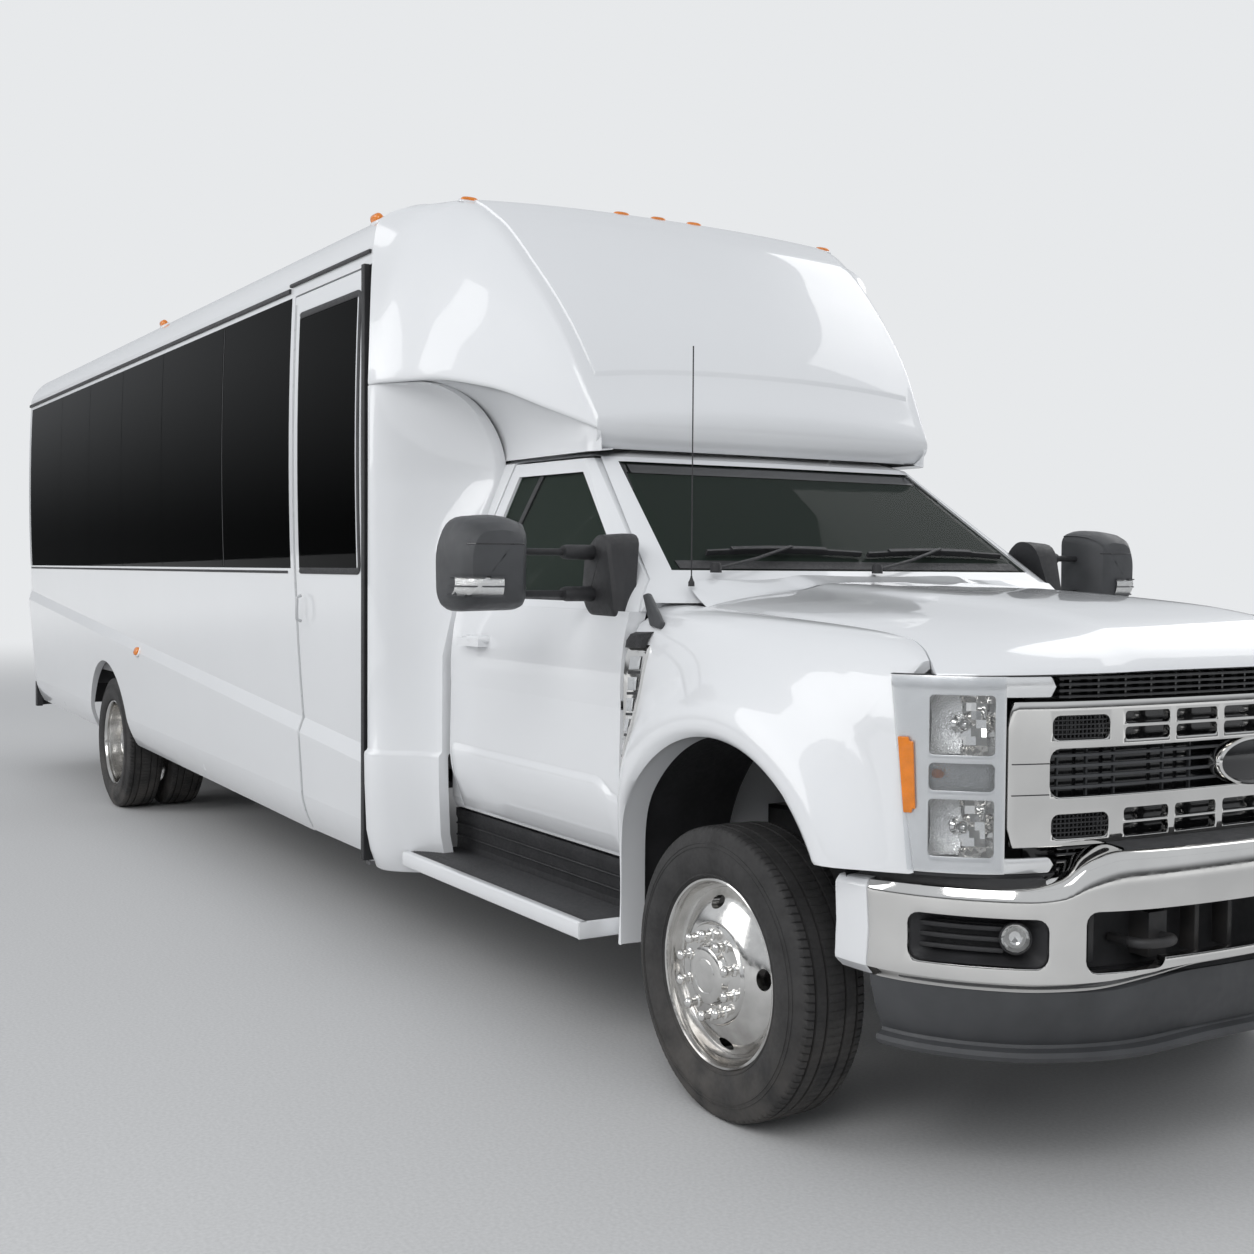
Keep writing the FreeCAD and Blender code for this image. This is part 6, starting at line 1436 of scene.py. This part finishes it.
def side_vents():
    rows = []
    for z in np.linspace(VENT_LOW, VENT_TOP, 34):
        edge = table(VENT_EDGE, z)
        fade = 0.010 * min((z - VENT_LOW) / 0.012, (VENT_TOP - z) / 0.012, 1)
        row = [fender_face(VENT_REAR + 0.001 + (edge - VENT_REAR - 0.002) * t, z, fade) for t in VENT_SHARES]
        rows.append([fender_face(VENT_REAR, z, -0.004)] + row + [fender_face(edge, z, -0.004)])
    piece("side_vents", both_sides(grid(rows)), "chrome", sharp=40)
    bars, slots = [], []
    for i in range(5):
        low = 1.222 - 0.064 * i
        wide = table(VENT_EDGE, low) - VENT_REAR
        for group, start, high, out, t0, t1 in ((bars, low, 0.040, 0.0160, 0.30, 0.86),
                                                (slots, low - 0.014, 0.009, 0.0125, 0.20, 0.92)):
            form = []
            for k in (0, 0.12, 0.35, 0.65, 0.88, 1):
                form.append([fender_face(VENT_REAR + wide * t, start + high * k + 0.008 * t,
                                         out - 0.003 * (k in (0, 1) or t in (t0, t1)))
                             for t in np.linspace(t0, t1, 12)])
            group.append(grid(form))
    piece("side_vent_bars", both_sides(join(*bars)), "grey_paint", sharp=40)
    piece("side_vent_slots", both_sides(join(*slots)), "plastic", sharp=40)
    rows = []
    for z, out in ((1.288, 0.006), (1.291, 0.022), (1.312, 0.027), (1.332, 0.022), (1.338, 0.006)):
        rows.append([fender_face(VENT_REAR + 0.098 * t, z + 0.004 * t, out - 0.016 * (abs(t - 0.5) > 0.45))
                     for t in (0, 0.05, 0.3, 0.6, 0.95, 1)])
    piece("side_vent_caps", both_sides(grid(rows)), "plastic", sharp=40)
    wedge = slab(((-0.580, 1.462), (-0.552, 1.470), (-0.438, 1.380), (-0.440, 1.358), (-0.500, 1.366)), "xz",
                 0.970, 0.990, 0.006)
    tilt = Matrix.Rotation(math.radians(14), 3, "X")
    piece("pillar_wedges", both_sides(moved(wedge, (0, 0.335, -0.205), tilt)), "grey_plastic", sharp=30)


def steps_of_cab():
    rows = []
    for x in np.linspace(-1.945, -0.592, 180):
        row = [(x, 1.128, 0.438), (x, 1.126, 0.4475)]
        row += [(x, y, 0.4475 + 0.0028 * (i % 2)) for i, y in enumerate(np.linspace(1.118, 0.938, 46))]
        row += [(x, 0.932, 0.4475), (x, 0.930, 0.470)]
        rows.append(row)
    piece("step_treads", both_sides(grid(rows)), "plastic", sharp=20)
    skirt = []
    for x in np.linspace(-1.950, -0.586, 60):
        skirt.append([(x, 1.080, 0.394), (x, 1.140, 0.393), (x, 1.1545, 0.396), (x, 1.1575, 0.403),
                      (x, 1.1575, 0.440), (x, 1.154, 0.4465), (x, 1.147, 0.448), (x, 1.128, 0.448),
                      (x, 1.127, 0.436)])
    end = slab(((0.925, 0.394), (1.1565, 0.394), (1.1565, 0.448), (0.925, 0.448)), "yz",
               -0.597, -0.5855, 0.003)
    piece("step_skirts", both_sides(join(grid(skirt), end)), "paint", "chassis", 50, ["cab_steps"])
    section = ((0.930, 0.440), (0.930, 0.560), (0.936, 0.575), (0.936, 0.603), (0.90, 0.604))
    riser = [[(x, y, z) for y, z in section] for x in np.linspace(-1.945, -0.592, 20)]
    lips = [tube([(-1.94, 0.934, z), (-0.60, 0.934, z)], 0.004, 8) for z in (0.50, 0.545)]
    piece("step_risers", both_sides(join(grid(riser), *lips)), "plastic", sharp=30)
    base = [[(x, y, 0.4) for y in (0.66, 0.9, 1.09)] for x in (-1.945, -0.592)]
    floor = [[(x, y, 0.430) for y in (0.66, 0.80, 0.94)] for x in (-1.945, -0.592)]
    piece("step_floor", both_sides(join(grid(base), grid(floor))), "plastic")


def cab():
    mirrors()
    door_trim()
    windshield_trim()
    antenna()
    side_vents()
    steps_of_cab()


# Coach body: rails, pane joints, door trim and lamps


def dome(length, width, height, lift=0.0):
    """A low lens, longest along x, standing on the z = 0 plane."""
    def blunt(t):
        return math.copysign(abs(t) ** 0.7, t)

    rows = []
    for t in np.linspace(0, 1, 9):
        size, up = math.cos(t * math.pi / 2) ** 0.6, math.sin(t * math.pi / 2)
        rows.append([(length / 2 * size * blunt(math.cos(a)), width / 2 * size * blunt(math.sin(a)),
                      lift + height * up) for a in np.linspace(0, 2 * math.pi, 28, endpoint=False)])
    return grid([[(x, y, -0.006) for x, y, z in rows[0]]] + rows, closed=True)


def stand(form, spot, normal):
    """A form that stands on z = 0 set on a spot, its x axis turned forward."""
    up, ahead = Vector(normal).normalized(), Vector((1, 0, 0))
    along = (ahead - up * up.dot(ahead)).normalized()
    turn = Matrix((along, up.cross(along), up)).transposed()
    return moved(form, spot, turn)


def marker_lamps():
    lenses, pads = [], []

    def lamp(found, lens, pad_size):
        """A lens on its pad, where a ray met the body."""
        lenses.append(stand(dome(*lens), *found))
        pads.append(stand(dome(*pad_size), *found))

    for name, side in SIDES[::-1]:
        for x in (-2.33, -5.53):
            found = probe("roof", (x, side * 1.105, 3.3), (0, 0, -1))
            lamp(found, (0.082, 0.040, 0.026, 0.006), (0.100, 0.056, 0.010))
        found = side_probe("side_wall_" + name, side, -5.70, 1.03)
        lamp(found, (0.072, 0.052, 0.014, 0.003), (0.086, 0.066, 0.006))
    for y in (-0.865, -0.178, 0, 0.178, 0.865):
        spot = probe("cap_skin", (-1.994, y, 3.4), (0, 0, -1))[0]
        lamp((spot, (0.30, 0, 1)), (0.036, 0.072, 0.013, 0.003), (0.052, 0.088, 0.005))
    piece("marker_lenses", join(*lenses), "amber", "chassis", 50, ["marker_lamps"])
    piece("marker_pads", join(*pads), "paint", "chassis", 50)


def lay(group, line, wide, tall):
    """Adds a ribbon, unless its line missed the body, as it does between two panes."""
    if len(line) > 3:
        group.append(ribbon(line, wide, tall))


def coach_trim():
    joints, rails, sill = [], [], []
    for side, wall in ((-1, "side_wall_right"), (1, "side_wall_left")):
        for x in (-3.985, -5.110, -6.020, -6.885, -7.750):
            lay(joints, on_side("coach_glass", ((x, 1.532), (x, 2.688)), side, 20), 0.008, 0.0016)
        end = -3.03 if side < 0 else -2.16
        lay(rails, on_side(wall, ((-8.90, 2.722), (end, 2.722)), side, 40), 0.020, 0.011)
        lay(sill, on_side(wall, ((-8.86, 1.508), (end - 0.02, 1.508)), side, 40), 0.012, 0.003)
    piece("pane_joints", join(*joints), "plastic")
    piece("drip_rails", join(*rails), "plastic")
    piece("glass_sills", join(*sill), "plastic")
    gutter = on_side("side_wall_right", ((-3.02, 2.742), (-2.115, 2.742)), -1, 16)
    piece("door_gutter", ribbon(gutter, 0.014, 0.012), "plastic")


def entry_door():
    low_x, high_x, low_z, high_z = -2.900, -2.205, 1.515, 2.598
    outline = round_corners(((low_x, low_z, 0.03), (high_x, low_z, 0.03), (high_x, high_z, 0.03),
                             (low_x, high_z, 0.03)), 6)
    outline.append(outline[0])
    line = []
    for a, b in zip(outline, outline[1:]):
        steps = max(int(math.dist(a, b) / 0.06), 1)
        line += [(a[0] + (b[0] - a[0]) * t / steps, a[1] + (b[1] - a[1]) * t / steps) for t in range(steps)]
    found = []
    for x, z in line:
        hit = side_probe("entry_door", -1, x, z)
        y = hit[0].y if hit and hit[0].y < -1.18 else -1.240
        found.append((Vector((x, y, z)), Vector((0, -1, 0))))
    found.append(found[0])
    piece("entry_gasket", ribbon(found, 0.026, 0.004, False), "plastic", "entry_door", 50)
    edge = [[(-2.163, -1.2395, z), (-2.163, -1.2425, z), (-2.136, -1.2435, z), (-2.1325, -1.241, z),
             (-2.1325, -1.175, z), (-2.1345, -1.175, z)] for z in np.linspace(0.392, 2.695, 30)]
    piece("entry_edge", shell_of(edge), "plastic", "entry_door", 50)
    spots = [side_probe("entry_door", -1, -2.949, z) for z in np.linspace(0.40, 2.69, 60)]
    spots = [hit for hit in spots if hit and hit[0].y < -1.0]
    piece("entry_strip", ribbon(spots, 0.010, 0.0035), "grey_paint", "entry_door", 50)
    pull = [(-2.845, -1.243, 1.30), (-2.845, -1.262, 1.31), (-2.845, -1.262, 1.40), (-2.845, -1.243, 1.41)]
    piece("entry_lock", tube(pull, 0.007), "grey_paint", "entry_door", 50)


def coach():
    marker_lamps()
    coach_trim()
    entry_door()


# Seats


def islands(node):
    """The separate solids of a CAD node as low and high corners in front-axle metres."""
    bm = bmesh.new()
    bm.from_mesh(NODES[node].data)
    bm.transform(Matrix.Translation((-AXLE_X, 0, 0)) @ NODES[node].matrix_world)
    bmesh.ops.remove_doubles(bm, verts=bm.verts, dist=1e-4)
    found, left = [], set(bm.verts)
    while left:
        front = [left.pop()]
        low, high = Vector(front[0].co), Vector(front[0].co)
        while front:
            vert = front.pop()
            low, high = Vector(map(min, low, vert.co)), Vector(map(max, high, vert.co))
            near = {edge.other_vert(vert) for edge in vert.link_edges} & left
            left -= near
            front += near
        found.append((low, high))
    bm.free()
    return found


def pad(middle, half, lean=0.0, crown=0.16, grooves=(), top=2, count=12):
    """A crowned cushion: sides drawn in between its corners, with sewn channels across its top."""
    axes = [k for k in range(3) if k != top]
    points, faces = [], []
    for fixed in range(3):
        u, v = [k for k in range(3) if k != fixed]
        for sign in (-1, 1):
            base = len(points)
            for a in np.linspace(-1, 1, count):
                for b in np.linspace(-1, 1, count):
                    p = [0.0, 0.0, 0.0]
                    p[fixed], p[u], p[v] = sign, a, b
                    size = sum(abs(c) ** 7 for c in p) ** (1 / 7)
                    p = [c / size for c in p]
                    i, j = axes
                    wave = p[top] * (1 - crown * (p[i] ** 2 + p[j] ** 2))
                    if p[top] > 0.5:
                        wave -= sum(0.16 * math.exp(-((p[axis] - g) / 0.045) ** 2) for axis, g in grooves)
                    seam = 0.035 * math.exp(-((p[top] - 0.45) / 0.10) ** 2)
                    drawn = [p[i] * (1 - 0.045 * math.cos(p[j] * math.pi / 2) - seam),
                             p[j] * (1 - 0.045 * math.cos(p[i] * math.pi / 2) - seam)]
                    q = [0.0, 0.0, 0.0]
                    q[top], q[i], q[j] = wave, drawn[0], drawn[1]
                    x, y, z = (middle[k] + half[k] * q[k] for k in range(3))
                    points.append((x - lean * (z - middle[2]), y, z))
            for m in range(count - 1):
                for n in range(count - 1):
                    a = base + m * count + n
                    faces.append((a, a + 1, a + count + 1, a + count))
    return points, faces


def seat_forms(node, shared):
    """Cushions, backs and frames for the seats of a CAD node; shared seats carry two people."""
    bases, backs, frames = [], [], []
    for low, high in islands(node):
        split = low[1] + (high[1] - low[1]) / 2
        spans = [(low[1], split), (split, high[1])] if shared else [(low[1], high[1])]
        tall, top = high[2] - low[2], high[2]
        if tall < 0.55 and high[0] - low[0] > 0.40:
            for a, b in spans:
                bases.append(pad(((low[0] + high[0]) / 2 + 0.004, (a + b) / 2, top - 0.050),
                                 ((high[0] - low[0]) / 2 - 0.008, (b - a) / 2 - 0.006, 0.048), 0.0, 0.20,
                                 ((0, 0.35), (0, -0.25)), 2))
            frames.append(brick((low[0] + 0.03, low[1] + 0.02, top - 0.112),
                                (high[0] - 0.05, high[1] - 0.02, top - 0.096), 0.004))
            for y in (low[1] + 0.10, high[1] - 0.10):
                for foot, head in ((low[0] + 0.10, low[0] + 0.16), (high[0] - 0.18, high[0] - 0.20)):
                    frames.append(tube([(foot, y, low[2] + 0.01), (head, y, top - 0.11)], 0.016, 10))
                frames.append(brick((low[0] + 0.04, y - 0.025, low[2] + 0.002),
                                    (high[0] - 0.12, y + 0.025, low[2] + 0.014)))
        elif tall > 0.55:
            lean = 0.135
            for a, b in spans:
                middle = ((low[0] + high[0]) / 2 + 0.006, (a + b) / 2, low[2] + tall * 0.42)
                backs.append(pad(middle, (0.044, (b - a) / 2 - 0.008, tall * 0.415), lean, 0.18,
                                 ((2, 0.30), (2, -0.10), (2, -0.5)), 0))
                head = (middle[0] - lean * (tall * 0.49), (a + b) / 2, low[2] + tall * 0.905)
                backs.append(pad(head, (0.038, (b - a) / 2 - 0.075, tall * 0.088), lean, 0.22, (), 0, 9))
            for y in (low[1] + 0.05, high[1] - 0.05):
                frames.append(tube([(high[0] - 0.070, y, low[2] + 0.02),
                                    (low[0] + 0.062, y, low[2] + tall * 0.80)], 0.010, 10))
    return bases, backs, frames


def seats():
    for node, prefix, shared in (("coach_seats", "coach", True), ("cab_seats", "cab", False)):
        bases, backs, frames = seat_forms(node, shared)
        low = piece(prefix + "_seat_cushions", join(*bases), "cloth", "chassis", 60, [node])
        high = piece(prefix + "_seat_backs", join(*backs), "cloth", "chassis", 60)
        piece(prefix + "_seat_frames", join(*frames), "chassis")


make_camera()
make_floor()
make_world()
make_lights()
dress_nodes()
wheels()
front_body()
grille()
lamps()
bumper()
cap()
cab()
coach()
seats()

scene = bpy.context.scene
scene.view_settings.view_transform = "Standard"
